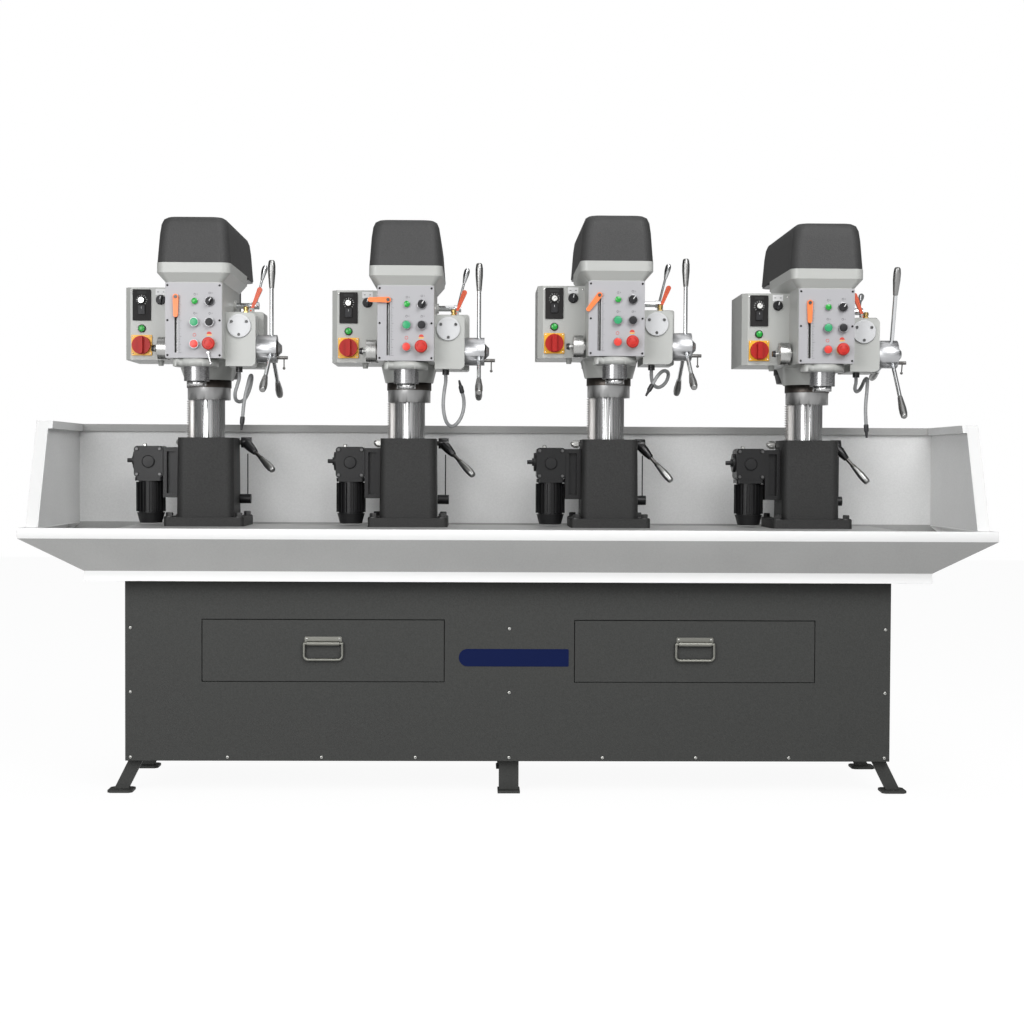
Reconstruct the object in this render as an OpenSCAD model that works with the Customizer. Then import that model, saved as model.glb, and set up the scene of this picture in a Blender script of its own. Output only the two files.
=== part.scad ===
// Gang drilling machine: four geared drill heads on pedestals in one chip tray,
// on a cabinet stand with two drawers. X runs along the length, the front is -Y, Z is up.
// The origin is on the floor, at the middle of the four corner anchor holes.

/* [Layout] */
// Distance between neighbouring spindle stations
station_pitch = 668; // [640:1:720]
// How far the column axes stand behind the middle of the feet
column_y = 20; // [10:1:30]

/* [Feet and cabinet] */
// Height of the feet under the cabinet
foot_h = 104; // [80:1:130]
// Width of the strap of a corner foot
foot_strap_w = 46; // [36:1:56]
// Width of the strap of a middle foot
foot_middle_w = 64; // [50:1:70]
// Thickness of the foot straps and pads
foot_t = 8; // [6:1:10]
// How far a corner foot splays outwards
foot_splay = 48; // [30:1:60]
// Length and width of a foot pad
foot_pad = 80; // [74:1:96]
// Anchor hole in each corner pad
anchor_d = 14; // [10:1:18]
// Length of the cabinet
cab_w = 2452; // [2340:1:2480]
// Depth of the cabinet
cab_d = 540; // [520:1:560]
// Height of the cabinet frame, up to the tray floor
cab_h = 611; // [560:1:660]
// Sheet thickness of the cabinet panels
cab_t = 2; // [1.5:0.5:4]
// Side of the square frame tubes
frame_tube = 40; // [30:1:50]

/* [Drawers] */
// Width of a drawer front
drawer_w = 770; // [700:1:820]
// Height of a drawer front
drawer_h = 196; // [170:1:220]
// Height of the drawer fronts above the cabinet bottom
drawer_up = 256; // [230:1:290]
// Distance of a drawer's middle from the middle of the cabinet
drawer_x = 595; // [560:1:620]
// Length of a drawer box
drawer_len = 440; // [380:1:480]
// Depth of the folded pan of a drawer front
drawer_pan = 18; // [12:1:26]
// Sheet thickness of a drawer
drawer_t = 2; // [1.5:0.5:3]
// Gap round a drawer front
drawer_gap = 2.5; // [1.5:0.5:4]
// Height of the runners under a drawer
runner_h = 24; // [16:1:32]
// Overall width of the bail pull
bail_w = 131; // [120:1:140]
// Length of the bail pull below its pivot
bail_drop = 52; // [45:1:60]
// Diameter of the bail rod
bail_d = 9; // [7:0.5:10]
// Width of the pull's backing plate
pull_plate_w = 118; // [112:1:118]
// Height of the pull's backing plate
pull_plate_h = 26; // [24:1:30]

/* [Chip tray] */
// Sheet thickness of the tray
tray_t = 4; // [3:0.5:5]
// Length of the base strip of the tray
strip_w = 2684; // [2620:1:2740]
// Depth of the base strip in front of the origin
strip_front = 335; // [320:1:350]
// Height of the base strip
strip_h = 32; // [25:1:40]
// Length of the tray over its lip
lip_w = 3078; // [3040:1:3120]
// Depth of the lip in front of the origin
lip_front = 385; // [370:1:400]
// Height of the lip
lip_h = 32; // [25:1:40]
// Width of the turned-in top of the front lip
lip_turn = 25; // [15:1:35]
// Height of the sloped apron between strip and lip
apron_h = 103; // [90:1:120]
// How far the back of the tray lies behind the origin
tray_back = 292; // [285:1:310]
// Length between the end walls, inside
wall_in = 2986; // [2950:1:3000]
// Height of the splash walls above the lip
wall_h = 340; // [300:1:380]
// Front foot of an end wall, in front of the origin
wall_foot_y = 305; // [290:1:330]
// How far the front edge of an end wall leans back
wall_lean = 145; // [110:1:180]
// Width of the flange on the front edge of an end wall
wall_flange = 35; // [25:1:40]
// Height of the folded rim on the walls
rim_h = 25; // [18:1:32]
// Depth of the folded rim on the walls
rim_d = 14; // [10:1:20]
// Length of the bed plate that carries the pedestals
bed_w = 2500; // [2450:1:2560]
// Front of the bed plate, in front of the column axes
bed_front = 320; // [300:1:330]
// Back of the bed plate, behind the column axes
bed_back = 150; // [145:1:170]
// How far the bed plate lies below the top of the lip
bed_drop = 2; // [0:1:10]
// Thickness of the bed's top plate
bed_t = 20; // [16:1:25]
// Thickness of the bed's side webs
bed_web = 10; // [8:1:14]
// Well in the bed below each column
bed_well_d = 176; // [172:1:186]

/* [Pedestals] */
// Width of a pedestal at its foot
ped_w = 190; // [186:1:196]
// Depth of a pedestal
ped_d = 200; // [194:1:210]
// How much narrower a pedestal is at its top
ped_taper = 6; // [0:1:8]
// Height of a pedestal above the bed
ped_h = 292; // [280:1:300]
// Corner radius of a pedestal
ped_r = 26; // [15:1:32]
// Width and depth of the base flange
ped_flange_w = 262; // [250:1:280]
// Thickness of the base flange
ped_flange_t = 30; // [24:1:36]
// Width of the clamping split
split_w = 5; // [3:1:8]
// Depth of the clamping split below the top
split_h = 110; // [80:1:140]
// Clamp bolt axis below the top of the pedestal
clamp_drop = 14; // [13:1:20]
// Clamp bolt axis behind the column axis
clamp_back = 78; // [74:1:82]
// Diameter of the clamp bolt
clamp_d = 16; // [12:1:18]
// Length of the clamp lever along its axis
clamp_out = 105; // [90:1:115]
// Reach of the clamp lever away from its axis
clamp_reach = 136; // [120:1:150]

/* [Lift drives] */
// Width of the mounting bracket, beside the pedestal
lift_bracket_w = 51; // [45:1:56]
// Height of the mounting bracket
lift_bracket_h = 167; // [150:1:175]
// Width of the worm gearbox
lift_box_w = 96; // [90:1:104]
// Height of the worm gearbox
lift_box_h = 104; // [96:1:112]
// Depth of the worm gearbox
lift_box_d = 100; // [90:1:110]
// Underside of the gearbox above the bed
lift_box_up = 160; // [150:1:170]
// Diameter of the lift motor over its fins
lift_motor_d = 98; // [90:1:104]
// Number of cooling fins on a lift motor
lift_fins = 20; // [16:1:24]
// Diameter of the hand crank stub
lift_stub_d = 14; // [10:1:18]

/* [Columns] */
// Diameter of a column
col_d = 105; // [98:1:118]
// Length of a column
col_l = 660; // [650:1:680]
// Column length inside the pedestal with the head at its middle height
col_in = 278; // [260:1:280]
// Module of the lift rack
rack_m = 2.5; // [2:0.25:3]
// Width of the lift rack
rack_w = 28; // [22:1:32]
// Tip of the rack teeth from the column axis
rack_tip = 72; // [70:1:80]
// Diameter of the light clamp collar
collar_d = 142; // [136:1:146]
// Height of the light clamp collar
collar_h = 40; // [30:1:44]
// Diameter of the dark seat ring
seat_ring_d = 148; // [144:1:152]
// Height of the dark seat ring
seat_ring_h = 25; // [18:1:30]

/* [Heads] */
// Free column between pedestal and collar with the head at its middle height
col_free = 126; // [122:1:140]
// Width of a head casting
head_w = 182; // [178:1:188]
// Front of a head casting before the column axis
head_front = 327; // [320:1:335]
// Back of a head casting behind the column axis
head_back = 90; // [84:1:94]
// Height of the tapered skirt over the seat ring
skirt_h = 56; // [45:1:65]
// Height of the head's main body above the front panel
body_over = 2; // [1:1:10]
// Height of the flare under the motor cover
flare_h = 29; // [22:1:40]
// Height of the upright band above the flare
band_h = 31; // [24:1:38]
// Width of the band
band_w = 232; // [220:1:240]
// How far the band stands before the casting's front
band_proud = 18; // [10:1:24]
// How far the band reaches behind the column axis
band_back = 100; // [96:1:102]
// Wall of the casting round its closed gear chamber
casting_wall = 12; // [8:1:12]
// Height of the motor cover
cover_h = 146; // [130:1:160]
// How far the motor cover reaches behind the column axis
cover_back = 275; // [272:1:280]
// How much narrower the cover is at its top
cover_draft = 30; // [16:1:40]
// Wall of the motor cover
cover_t = 4; // [3:0.5:6]
// Diameter of the main motor
motor_d = 160; // [150:1:164]
// Length of the main motor
motor_l = 335; // [300:1:345]
// Main motor axis behind the column axis
motor_back = 190; // [188:1:192]

/* [Feed] */
// Diameter of a quill
quill_d = 80; // [76:1:82]
// Quill axis before the column axis
quill_front = 265; // [260:1:268]
// Length of a quill
quill_l = 270; // [240:1:275]
// Quill nose below the casting's underside
quill_nose = 70; // [60:1:80]
// Stroke of a quill
quill_stroke = 120; // [100:1:130]
// Diameter of a spindle inside the quill
spindle_d = 46; // [40:1:50]
// Large end of the spindle's taper socket
socket_d = 23.825; // [17.78:0.001:31.267]
// Depth of the taper socket
socket_l = 81; // [65:1:100]
// Taper of the socket on its diameter
socket_taper = 0.0502; // [0.048:0.0001:0.052]
// Thickness of the quill's depth ring
ring_t = 23; // [18:1:24]
// Diameter of the quill's depth ring
ring_d = 138; // [104:1:140]
// Diameter of the depth rod
rod_d = 12; // [10:1:14]
// Depth rod beside the quill axis
rod_x = 55; // [53:1:58]
// Capstan shaft behind the quill axis
capstan_back = 52; // [52:0.5:56]
// Capstan axis above the casting's underside
capstan_up = 37; // [34:1:42]
// Diameter of the capstan shaft
capstan_shaft_d = 22; // [18:1:22]
// Diameter of the capstan hub
hub_d = 90; // [80:1:96]
// Length of the capstan hub
hub_l = 64; // [52:1:70]
// Reach of a capstan lever from its axis
lever_l = 285; // [260:1:300]
// Diameter of the capstan lever rods
lever_d = 13; // [11:0.5:15]
// Largest diameter of the lever grips
grip_d = 24; // [20:1:26]
// Length of the lever grips
grip_l = 92; // [80:1:105]
// Width of the feed box beside the head
feed_w = 95; // [90:1:100]
// Extra width of the rear of the feed box
feed_rear_more = 15; // [8:1:26]
// Height of the feed box
feed_h = 171; // [160:1:180]
// Extra height of the rear of the feed box
feed_rear_up = 10; // [5:1:26]
// Diameter of the gear change shaft
gear_d = 19; // [16:1:20]
// Length of the gear change lever
gear_l = 134; // [110:1:140]
// Length of the orange feed lever
feed_lever_l = 82; // [70:1:90]

/* [Controls] */
// Width of the front panel plate
panel_w = 178; // [176:1:178]
// Height of the front panel plate
panel_h = 237; // [230:1:240]
// Thickness of the front panel plate
panel_t = 3; // [2:0.5:4]
// Width of the depth slot
slot_w = 10; // [9:0.5:12]
// Length of the orange depth lever
depth_lever_l = 64; // [56:1:70]
// Diameter of the emergency stop
estop_d = 40; // [36:1:44]
// Travel of the emergency stop
estop_travel = 5; // [4:0.5:6]
// Diameter of the push buttons
button_d = 29; // [26:1:31]
// Width of the electrical box
box_w = 154; // [146:1:160]
// Height of the electrical box
box_h = 234; // [226:1:240]
// Depth of the electrical box
box_d = 250; // [230:1:260]
// Chamfer on the outer front edge of the electrical box
box_chamfer = 17; // [8:1:24]
// Sheet thickness of the electrical box
box_t = 2; // [1.5:0.5:3]
// Side of the main switch plate
switch_plate = 66; // [60:1:70]
// Diameter of the main switch knob
switch_d = 59; // [52:1:60]

/* [Coolant hoses] */
// Outer diameter of a gooseneck hose
hose_d = 12; // [10:1:14]
// Length of the nozzle
nozzle_l = 42; // [30:1:50]

/* [Hidden] */
$fn = 48;
fit = 0.05;
seat = 0.3;
seam = 0.05;
stations = [1, 2, 3, 4];
lift_rest = [0, -5, 14, -6];
capstan_rest = [0, 0, 0, 17];
depth_rest = [0, 90, 38, 0];
gear_rest = [0, 0, 0, -60];
feed_rest = [0, 0, 0, -44];
clamp_rest = [44, 53, 66, 69];

// Hose routes, one per station, from the gland under the feed box to the nozzle.
// They are measured from the column axis, with the head at its middle height.
hose_routes = [
  [[125, -190, 1350], [125, -190, 1330], [119, -194, 1306], [112, -190, 1282], [112, -172, 1262],
   [121, -147, 1256], [133, -124, 1264], [144, -110, 1286], [152, -108, 1312], [157, -121, 1334],
   [158, -143, 1342], [156, -166, 1334], [152, -182, 1310], [147, -190, 1284], [142, -194, 1256],
   [139, -196, 1228], [137, -197, 1204]],
  [[125, -190, 1350], [125, -190, 1328], [121, -195, 1300], [118, -200, 1270], [118, -202, 1242],
   [122, -200, 1216], [130, -190, 1194], [143, -173, 1184], [158, -155, 1190], [171, -142, 1207],
   [180, -136, 1229], [184, -136, 1253], [183, -142, 1276], [178, -151, 1296]],
  [[125, -190, 1350], [125, -190, 1332], [129, -183, 1312], [138, -171, 1300], [151, -158, 1296],
   [166, -149, 1302], [179, -146, 1317], [184, -154, 1335], [179, -171, 1346], [165, -190, 1348],
   [150, -206, 1338], [136, -217, 1320], [124, -224, 1300]],
  [[125, -190, 1350], [125, -190, 1334], [124, -180, 1316], [132, -162, 1306], [146, -144, 1311],
   [157, -132, 1325], [164, -132, 1341], [168, -146, 1349], [168, -164, 1343], [165, -176, 1322],
   [162, -182, 1296], [159, -185, 1268], [158, -187, 1240], [159, -188, 1214], [160, -188, 1196]]
];

// Heights, from the floor up
cab_top = foot_h + cab_h;
strip_z = cab_top - strip_h;
lip_z = cab_top + apron_h;
lip_top = lip_z + lip_h;
wall_top = lip_top + wall_h;
floor_t = tray_t + 1;
bed_z = lip_top - bed_drop;
ped_top = bed_z + ped_h;
collar_z = ped_top + col_free;
seat_ring_z = collar_z + collar_h;
skirt_z = seat_ring_z + seat_ring_h;
body_z = skirt_z + skirt_h;
body_h = panel_h + body_over;
flare_z = body_z + body_h;
band_z = flare_z + flare_h;
cover_z = band_z + band_h;
clamp_z = ped_top - clamp_drop;
capstan_z = body_z + capstan_up;
ring_z = body_z - ring_t - 2;
quill_z = body_z - quill_nose;
capstan_y = capstan_back - quill_front;

// Places on the front panel, from its middle
panel_z = body_z + panel_h / 2;
estop_x = 49.5;
estop_z = panel_z - 74;
button_z = [60, -6, -75];
slot_top = panel_z + 78;
slot_bottom = panel_z - 102;
pivot_z = slot_top - slot_w / 2;
rod_y = 20 - head_front;
stem_d = 16;

// Feed box and electrical box beside the head
side_x = head_w / 2;
feed_z = body_z - 21;
feed_front = 68 - head_front;
feed_split = capstan_y + hub_d / 2 + 3;
feed_end = feed_split + 104;
feed_top = feed_z + feed_h;
feed_rear_top = feed_top + feed_rear_up;
hub_x = side_x + feed_w + seat;
gear_y = feed_end + 4;
gear_z = feed_rear_top + gear_d / 2 + 19;
gear_end = side_x + 82;
feed_lever_y = feed_split + 30;
feed_lever_x = side_x + 66;
box_z = body_z + 2;
box_x = -side_x - box_w;
box_front = capstan_y + 38;
gland_z = hose_routes[0][0][2];

cab_front = -cab_d / 2;
drawer_z = foot_h + drawer_up;
pull_z = drawer_z + drawer_h / 2 + 24;
bail_y = cab_front - bail_d / 2 - 4.5;
tray_front_in = column_y - bed_front;

per_station = ["column", "head_casting", "motor_cover", "control_box", "hose", "quill", "spindle",
  "capstan", "depth_lever", "gear_lever", "feed_lever", "clamp_lever", "estop"];

// Places a piece at a station, standing on the bed
module at_station(k) {
  translate([(k - 2.5) * station_pitch, column_y, 0]) children();
}

// Places a piece on a station's head, at its rest height
module at_head(k) {
  translate([0, 0, lift_rest[k - 1]]) at_station(k) children();
}

// Rectangle with round corners, centred
module round_rect(w, h, r) {
  square([w - 2 * r, h], center = true);
  square([w, h - 2 * r], center = true);
  for (x = [-1, 1], y = [-1, 1])
    translate([x * (w / 2 - r), y * (h / 2 - r)]) circle(r);
}

// Stands a flat outline up in the XZ plane, from y0 to y0 + t
module standing(y0, t) {
  translate([0, y0 + t, 0]) rotate([90, 0, 0]) linear_extrude(t) children();
}

// Stands an outline drawn in Y and Z up across the length, from x0 to x0 + t
module across(x0, t) {
  translate([x0, 0, 0]) rotate([90, 0, 90]) linear_extrude(t) children();
}

// Round bar along X between two places
module bar_x(d, x0, x1) {
  translate([x0, 0, 0]) rotate([0, 90, 0]) cylinder(d = d, h = x1 - x0);
}

// Round piece that stands out of a front face at y0, towards the front
module knob_out(d, y0, h) {
  translate([0, y0, 0]) rotate([90, 0, 0]) cylinder(d = d, h = h);
}

// Tapered hand grip along +Z, from its neck to its rounded end
module grip(l, d, neck) {
  rotate_extrude() polygon([[0, 0], [neck / 2, 0], [neck / 2 + 1.5, 4], [d / 2, l * 0.55], [d / 2, l * 0.8],
    [d / 2 - 2, l - 4], [d / 2 - 5, l], [0, l]]);
}

// Swept round tube through a list of points
function unit(v) = v / norm(v);
function heading(p, i) = unit(p[min(i + 1, len(p) - 1)] - p[max(i - 1, 0)]);
function sideways(p, i) = i == 0
  ? unit(cross(heading(p, 0), [1, 0, 0]))
  : let (s = sideways(p, i - 1), t = heading(p, i)) unit(s - (s * t) * t);
module tube(p, d, sides = 10) {
  rings = [for (i = [0:len(p) - 1]) let (s = sideways(p, i), b = cross(heading(p, i), s))
    for (a = [0:sides - 1]) p[i] + d[i] / 2 * (cos(a * 360 / sides) * s + sin(a * 360 / sides) * b)];
  last = (len(p) - 1) * sides;
  faces = [for (i = [0:len(p) - 2]) for (a = [0:sides - 1]) for (h = [0, 1])
    let (q = i * sides + a, r = i * sides + (a + 1) % sides)
    h == 0 ? [q, q + sides, r] : [r, q + sides, r + sides]];
  polyhedron(rings, concat(faces, [[for (a = [0:sides - 1]) a]], [[for (a = [sides - 1:-1:0]) last + a]]));
}

// Frame tubes, sheet panels, drawer runners and feet of the stand
module cabinet() {
  color("dimgray") {
    cabinet_frame();
    cabinet_sheets();
    for (s = [-1, 1], e = [-1, 1]) drawer_runner(s, e);
    for (y = [-1, 1]) {
      for (x = [-1, 1]) corner_foot(x, y);
      middle_foot(y);
    }
  }
}

module cabinet_frame() {
  post_x = cab_w / 2 - cab_t - seam - frame_tube / 2;
  post_y = cab_d / 2 - cab_t - seam - frame_tube / 2;
  rail_l = post_x - frame_tube - 2 * seam;
  for (x = [-1, 0, 1], y = [-1, 1])
    translate([x * post_x, y * post_y, foot_h + cab_h / 2])
      cube([frame_tube, frame_tube, cab_h], center = true);
  for (x = [-1, 1], y = [-1, 1], z = [foot_h + frame_tube / 2 + cab_t, cab_top - frame_tube / 2])
    translate([x * post_x / 2, y * post_y, z]) cube([rail_l, frame_tube, frame_tube], center = true);
  for (x = [-1, 0, 1])
    translate([x * post_x, 0, cab_top - frame_tube / 2])
      cube([frame_tube, 2 * post_y - frame_tube - 2 * seam, frame_tube], center = true);
}

module cabinet_sheets() {
  sheet_h = cab_h - 1;
  difference() {
    standing(cab_front, cab_t)
      translate([0, foot_h + sheet_h / 2]) square([cab_w, sheet_h], center = true);
    for (x = [-1, 1])
      standing(cab_front - 1, cab_t + 2) translate([x * drawer_x, drawer_z + drawer_h / 2])
        square([drawer_w + 2 * drawer_gap, drawer_h + 2 * drawer_gap], center = true);
  }
  standing(cab_d / 2 - cab_t, cab_t)
    translate([0, foot_h + sheet_h / 2]) square([cab_w, sheet_h], center = true);
  for (x = [-cab_w / 2, cab_w / 2 - cab_t])
    across(x, cab_t) translate([0, foot_h + sheet_h / 2]) square([cab_d - 2 * cab_t - 2 * seam, sheet_h], center = true);
}

// Runner under one edge of a drawer, from the front sheet to the back sheet,
// notched behind the front sheet for the drawer's folded front
module drawer_runner(s, e) {
  w = 26;
  z0 = drawer_box_z() - seat - runner_h;
  back = cab_d / 2 - cab_t - seam;
  front = cab_front + cab_t + seam;
  notch = cab_front + drawer_pan + drawer_gap;
  translate([s * drawer_x + e * (drawer_w / 2 - 20) - w / 2, 0, z0]) {
    translate([0, front, 0]) cube([w, back - front, drawer_z - drawer_gap - z0]);
    translate([0, notch, 0]) cube([w, back - notch, runner_h]);
  }
}
function drawer_box_z() = drawer_z + 12;

// Splayed strap foot under a corner, with its pad and anchor hole
module corner_foot(x, y) {
  top_x = cab_w / 2 - foot_strap_w / 2 - 6;
  foot_y = cab_d / 2 - foot_pad / 2;
  half = foot_strap_w / 2;
  out_x = top_x + foot_splay;
  translate([0, y * foot_y, 0]) mirror([x < 0 ? 1 : 0, 0, 0]) {
    standing(-foot_t, 2 * foot_t) polygon([[top_x - half, foot_h - seam], [top_x + half, foot_h - seam],
      [out_x + half, foot_t + seam], [out_x - half, foot_t + seam]]);
    difference() {
      translate([out_x, 0, 0]) linear_extrude(foot_t) pad_outline();
      translate([out_x, y * anchor_in(), -1]) cylinder(d = anchor_d, h = foot_t + 2);
    }
  }
}
function anchor_in() = foot_pad / 2 - anchor_d / 2 - 11;

// Pad with its corners cut off
module pad_outline() {
  h = foot_pad / 2;
  c = 10;
  polygon([[c - h, -h], [h - c, -h], [h, c - h], [h, h - c], [h - c, h], [c - h, h], [-h, h - c], [-h, c - h]]);
}

// Upright foot under the middle of the front or back
module middle_foot(y) {
  translate([0, y * (cab_d / 2 - foot_pad / 2), 0]) {
    translate([0, 0, (foot_h + foot_t) / 2])
      cube([foot_middle_w, 2 * foot_t, foot_h - foot_t - 2 * seam], center = true);
    translate([0, 0, foot_t / 2]) cube([foot_middle_w + 8, foot_pad, foot_t], center = true);
  }
}

// Drawer box with its folded front and the plate of its pull
module drawer(s) {
  box_w2 = drawer_w - 2 * 14;
  box_h2 = drawer_h - 52;
  translate([s * drawer_x, 0, 0]) {
    color("dimgray") {
      difference() {
        standing(cab_front, drawer_pan) translate([0, drawer_z + drawer_h / 2])
          square([drawer_w, drawer_h], center = true);
        standing(cab_front + drawer_t, drawer_pan) translate([0, drawer_z + drawer_h / 2])
          square([drawer_w - 2 * drawer_t, drawer_h - 2 * drawer_t], center = true);
      }
      difference() {
        translate([-box_w2 / 2, cab_front, drawer_box_z()]) cube([box_w2, drawer_len, box_h2]);
        translate([drawer_t - box_w2 / 2, cab_front + drawer_t, drawer_box_z() + drawer_t])
          cube([box_w2 - 2 * drawer_t, drawer_len - 2 * drawer_t, drawer_h]);
      }
      drawer_lower_front(box_w2);
    }
    color("silver") pull_plate();
  }
}

// Cross strip that closes the front pan under the drawer box
module drawer_lower_front(w) {
  translate([-w / 2, cab_front + drawer_t, drawer_z + drawer_t])
    cube([w, drawer_pan - drawer_t, drawer_box_z() - drawer_z - drawer_t]);
}

// Backing plate and pivot barrel of a bail pull
module pull_plate() {
  barrel_l = pull_plate_w - 14;
  difference() {
    union() {
      standing(cab_front - 3, 3) translate([0, pull_z + pull_plate_h / 2 - 5])
        round_rect(pull_plate_w, pull_plate_h, 4);
      translate([0, bail_y, pull_z]) bar_x(bail_d + 6, -barrel_l / 2, barrel_l / 2);
      translate([-barrel_l / 2, bail_y, pull_z - 3]) cube([barrel_l, cab_front - bail_y, 6]);
    }
    translate([0, bail_y, pull_z]) bar_x(bail_d + 2 * fit, -barrel_l, barrel_l);
  }
}

// Bail: two short pivot ends, two legs and a bar, bent from one rod
module bail(s) {
  leg_x = (bail_w - bail_d) / 2;
  bend = 14;
  color("silver") translate([s * drawer_x, bail_y, pull_z]) for (x = [0, 1]) mirror([x, 0, 0]) {
    bar_x(bail_d, leg_x - 26, leg_x);
    translate([leg_x, 0, 0]) sphere(d = bail_d);
    translate([leg_x, 0, bend - bail_drop]) cylinder(d = bail_d, h = bail_drop - bend);
    translate([leg_x - bend, 0, bend - bail_drop]) rotate([-90, 0, 0])
      rotate_extrude(angle = 90) translate([bend, 0]) circle(d = bail_d);
    translate([0, 0, -bail_drop]) bar_x(bail_d, 0, leg_x - bend);
  }
}

// Sheet-metal tray with splash walls, and the bed plate inside it
module chip_tray() {
  color("lightgray") {
    tray_sheet();
    splash_walls();
  }
  color("gray") bed_plate();
}

// Solid that widens from the base strip to the lip, with an upright back, drawn in by a wall
module hopper(wall, end_wall, z0, z1) {
  x0 = strip_w / 2 - wall;
  x1 = lip_w / 2 - end_wall;
  f0 = wall - strip_front;
  f1 = wall - lip_front;
  back = tray_back - wall;
  polyhedron(
    [[-x0, f0, z0], [x0, f0, z0], [x0, back, z0], [-x0, back, z0],
     [-x1, f1, z1], [x1, f1, z1], [x1, back, z1], [-x1, back, z1]],
    [[0, 1, 2, 3], [4, 7, 6, 5], [0, 4, 5, 1], [1, 5, 6, 2], [2, 6, 7, 3], [3, 7, 4, 0]]);
}

module tray_sheet() {
  lip_d = lip_front + tray_back;
  difference() {
    union() {
      hopper(0, 0, cab_top, lip_z);
      translate([-lip_w / 2, -lip_front, lip_z]) cube([lip_w, lip_d, lip_h]);
      translate([-strip_w / 2, -strip_front, strip_z]) cube([strip_w, strip_front + tray_back, strip_h]);
    }
    hopper(tray_t, 2.5 * tray_t, cab_top + floor_t, lip_z + 1);
    translate([tray_t - lip_w / 2, tray_t - lip_front, lip_z])
      cube([lip_w - 2 * tray_t, lip_d - 2 * tray_t, lip_h - tray_t]);
    translate([-wall_in / 2, lip_turn - lip_front, lip_z])
      cube([wall_in, lip_d - lip_turn - tray_t, lip_h + 1]);
    translate([tray_t - strip_w / 2, tray_t - strip_front, strip_z - 1])
      cube([strip_w - 2 * tray_t, strip_front + tray_back - 2 * tray_t, strip_h + 1]);
  }
}

// Back wall, end walls with their front flanges, and the folded rim
module splash_walls() {
  wall_x = wall_in / 2;
  lean_top = wall_lean - wall_foot_y;
  wall_y = tray_back - tray_t - seam;
  foot_z = lip_top + seam;
  rim_y = wall_y - rim_d - seam;
  translate([-wall_x - tray_t, tray_back - tray_t, foot_z]) cube([wall_in + 2 * tray_t, tray_t, wall_h - seam]);
  translate([seam - wall_x, wall_y - rim_d, wall_top - rim_h]) cube([wall_in - 2 * seam, rim_d, rim_h]);
  for (s = [0, 1]) mirror([s, 0, 0]) {
    across(wall_x, tray_t)
      polygon([[-wall_foot_y, foot_z], [lean_top, wall_top], [wall_y, wall_top], [wall_y, foot_z]]);
    across(wall_x + tray_t + seam, wall_flange) polygon([[-wall_foot_y, foot_z], [lean_top, wall_top],
      [lean_top + tray_t, wall_top], [tray_t - wall_foot_y, foot_z]]);
    across(wall_x - rim_d - seam, rim_d) polygon([[lean_top, wall_top], [rim_y, wall_top],
      [rim_y, wall_top - rim_h], [lean_top - rim_h * wall_lean / wall_h, wall_top - rim_h]]);
  }
}

// Hollow bed with a well below each column
module bed_plate() {
  bed_floor = cab_top + floor_t + seam;
  depth = bed_front + bed_back;
  difference() {
    translate([-bed_w / 2, tray_front_in, bed_floor]) cube([bed_w, depth, bed_z - bed_floor]);
    translate([bed_web - bed_w / 2, tray_front_in + bed_web, bed_floor - 1])
      cube([bed_w - 2 * bed_web, depth - 2 * bed_web, bed_z - bed_t - bed_floor + 1]);
    for (k = stations) at_station(k) translate([0, 0, bed_floor]) cylinder(d = bed_well_d, h = bed_z);
  }
}

// Four cast pedestals with their clamp nuts
module pedestals() {
  for (k = stations) at_station(k) {
    color([0.24, 0.24, 0.24]) pedestal();
    color("silver") translate([0, clamp_back, clamp_z]) clamp_nut();
  }
}

module pedestal() {
  rack_room = rack_tip + 1.5;
  difference() {
    union() {
      hull() {
        translate([0, 0, bed_z]) linear_extrude(1) round_rect(ped_w, ped_d, ped_r, $fn = 32);
        translate([0, 0, ped_top - 1]) linear_extrude(1) round_rect(ped_w - ped_taper, ped_d - ped_taper, ped_r, $fn = 32);
      }
      translate([0, 0, bed_z]) linear_extrude(ped_flange_t) round_rect(ped_flange_w, ped_flange_w, 14);
    }
    translate([0, 0, bed_z - 1]) cylinder(d = col_d + 2 * fit, h = ped_h + 2);
    translate([-rack_room, -rack_w / 2 - 1, bed_z - 1]) cube([rack_room, rack_w + 2, ped_h + 2]);
    translate([-split_w / 2, 0, ped_top - split_h]) cube([split_w, ped_d, split_h + 1]);
    translate([0, clamp_back, clamp_z]) bar_x(clamp_d + 2 * fit, -ped_w, ped_w);
  }
}

// Domed nut on the left end of a clamp bolt
module clamp_nut() {
  x0 = -ped_w / 2 - 18;
  difference() {
    union() {
      translate([x0, 0, 0]) rotate([0, 90, 0]) cylinder(d = 28, h = 18, $fn = 6);
      translate([x0, 0, 0]) sphere(d = 22);
    }
    bar_x(clamp_d + 2 * fit, -ped_w / 2 - 14, 0);
  }
}

// Lift gearmotors on the left of the pedestals, and limit switches on their right
module lift_drives() {
  for (k = stations) at_station(k) {
    color([0.13, 0.13, 0.13]) {
      lift_bracket();
      lift_gearbox();
      lift_motor();
    }
    color("black") limit_switch();
  }
}

module lift_bracket() {
  x0 = -ped_w / 2 - lift_bracket_w;
  z0 = bed_z + lift_box_up + lift_box_h - lift_bracket_h - 4;
  translate([x0, -45, z0]) difference() {
    cube([lift_bracket_w + 1, 90, lift_bracket_h]);
    translate([lift_bracket_w, 0, 0]) lift_face();
    translate([12, -1, 14]) cube([lift_bracket_w - 24, 20, lift_bracket_h - 28]);
  }
}

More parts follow.
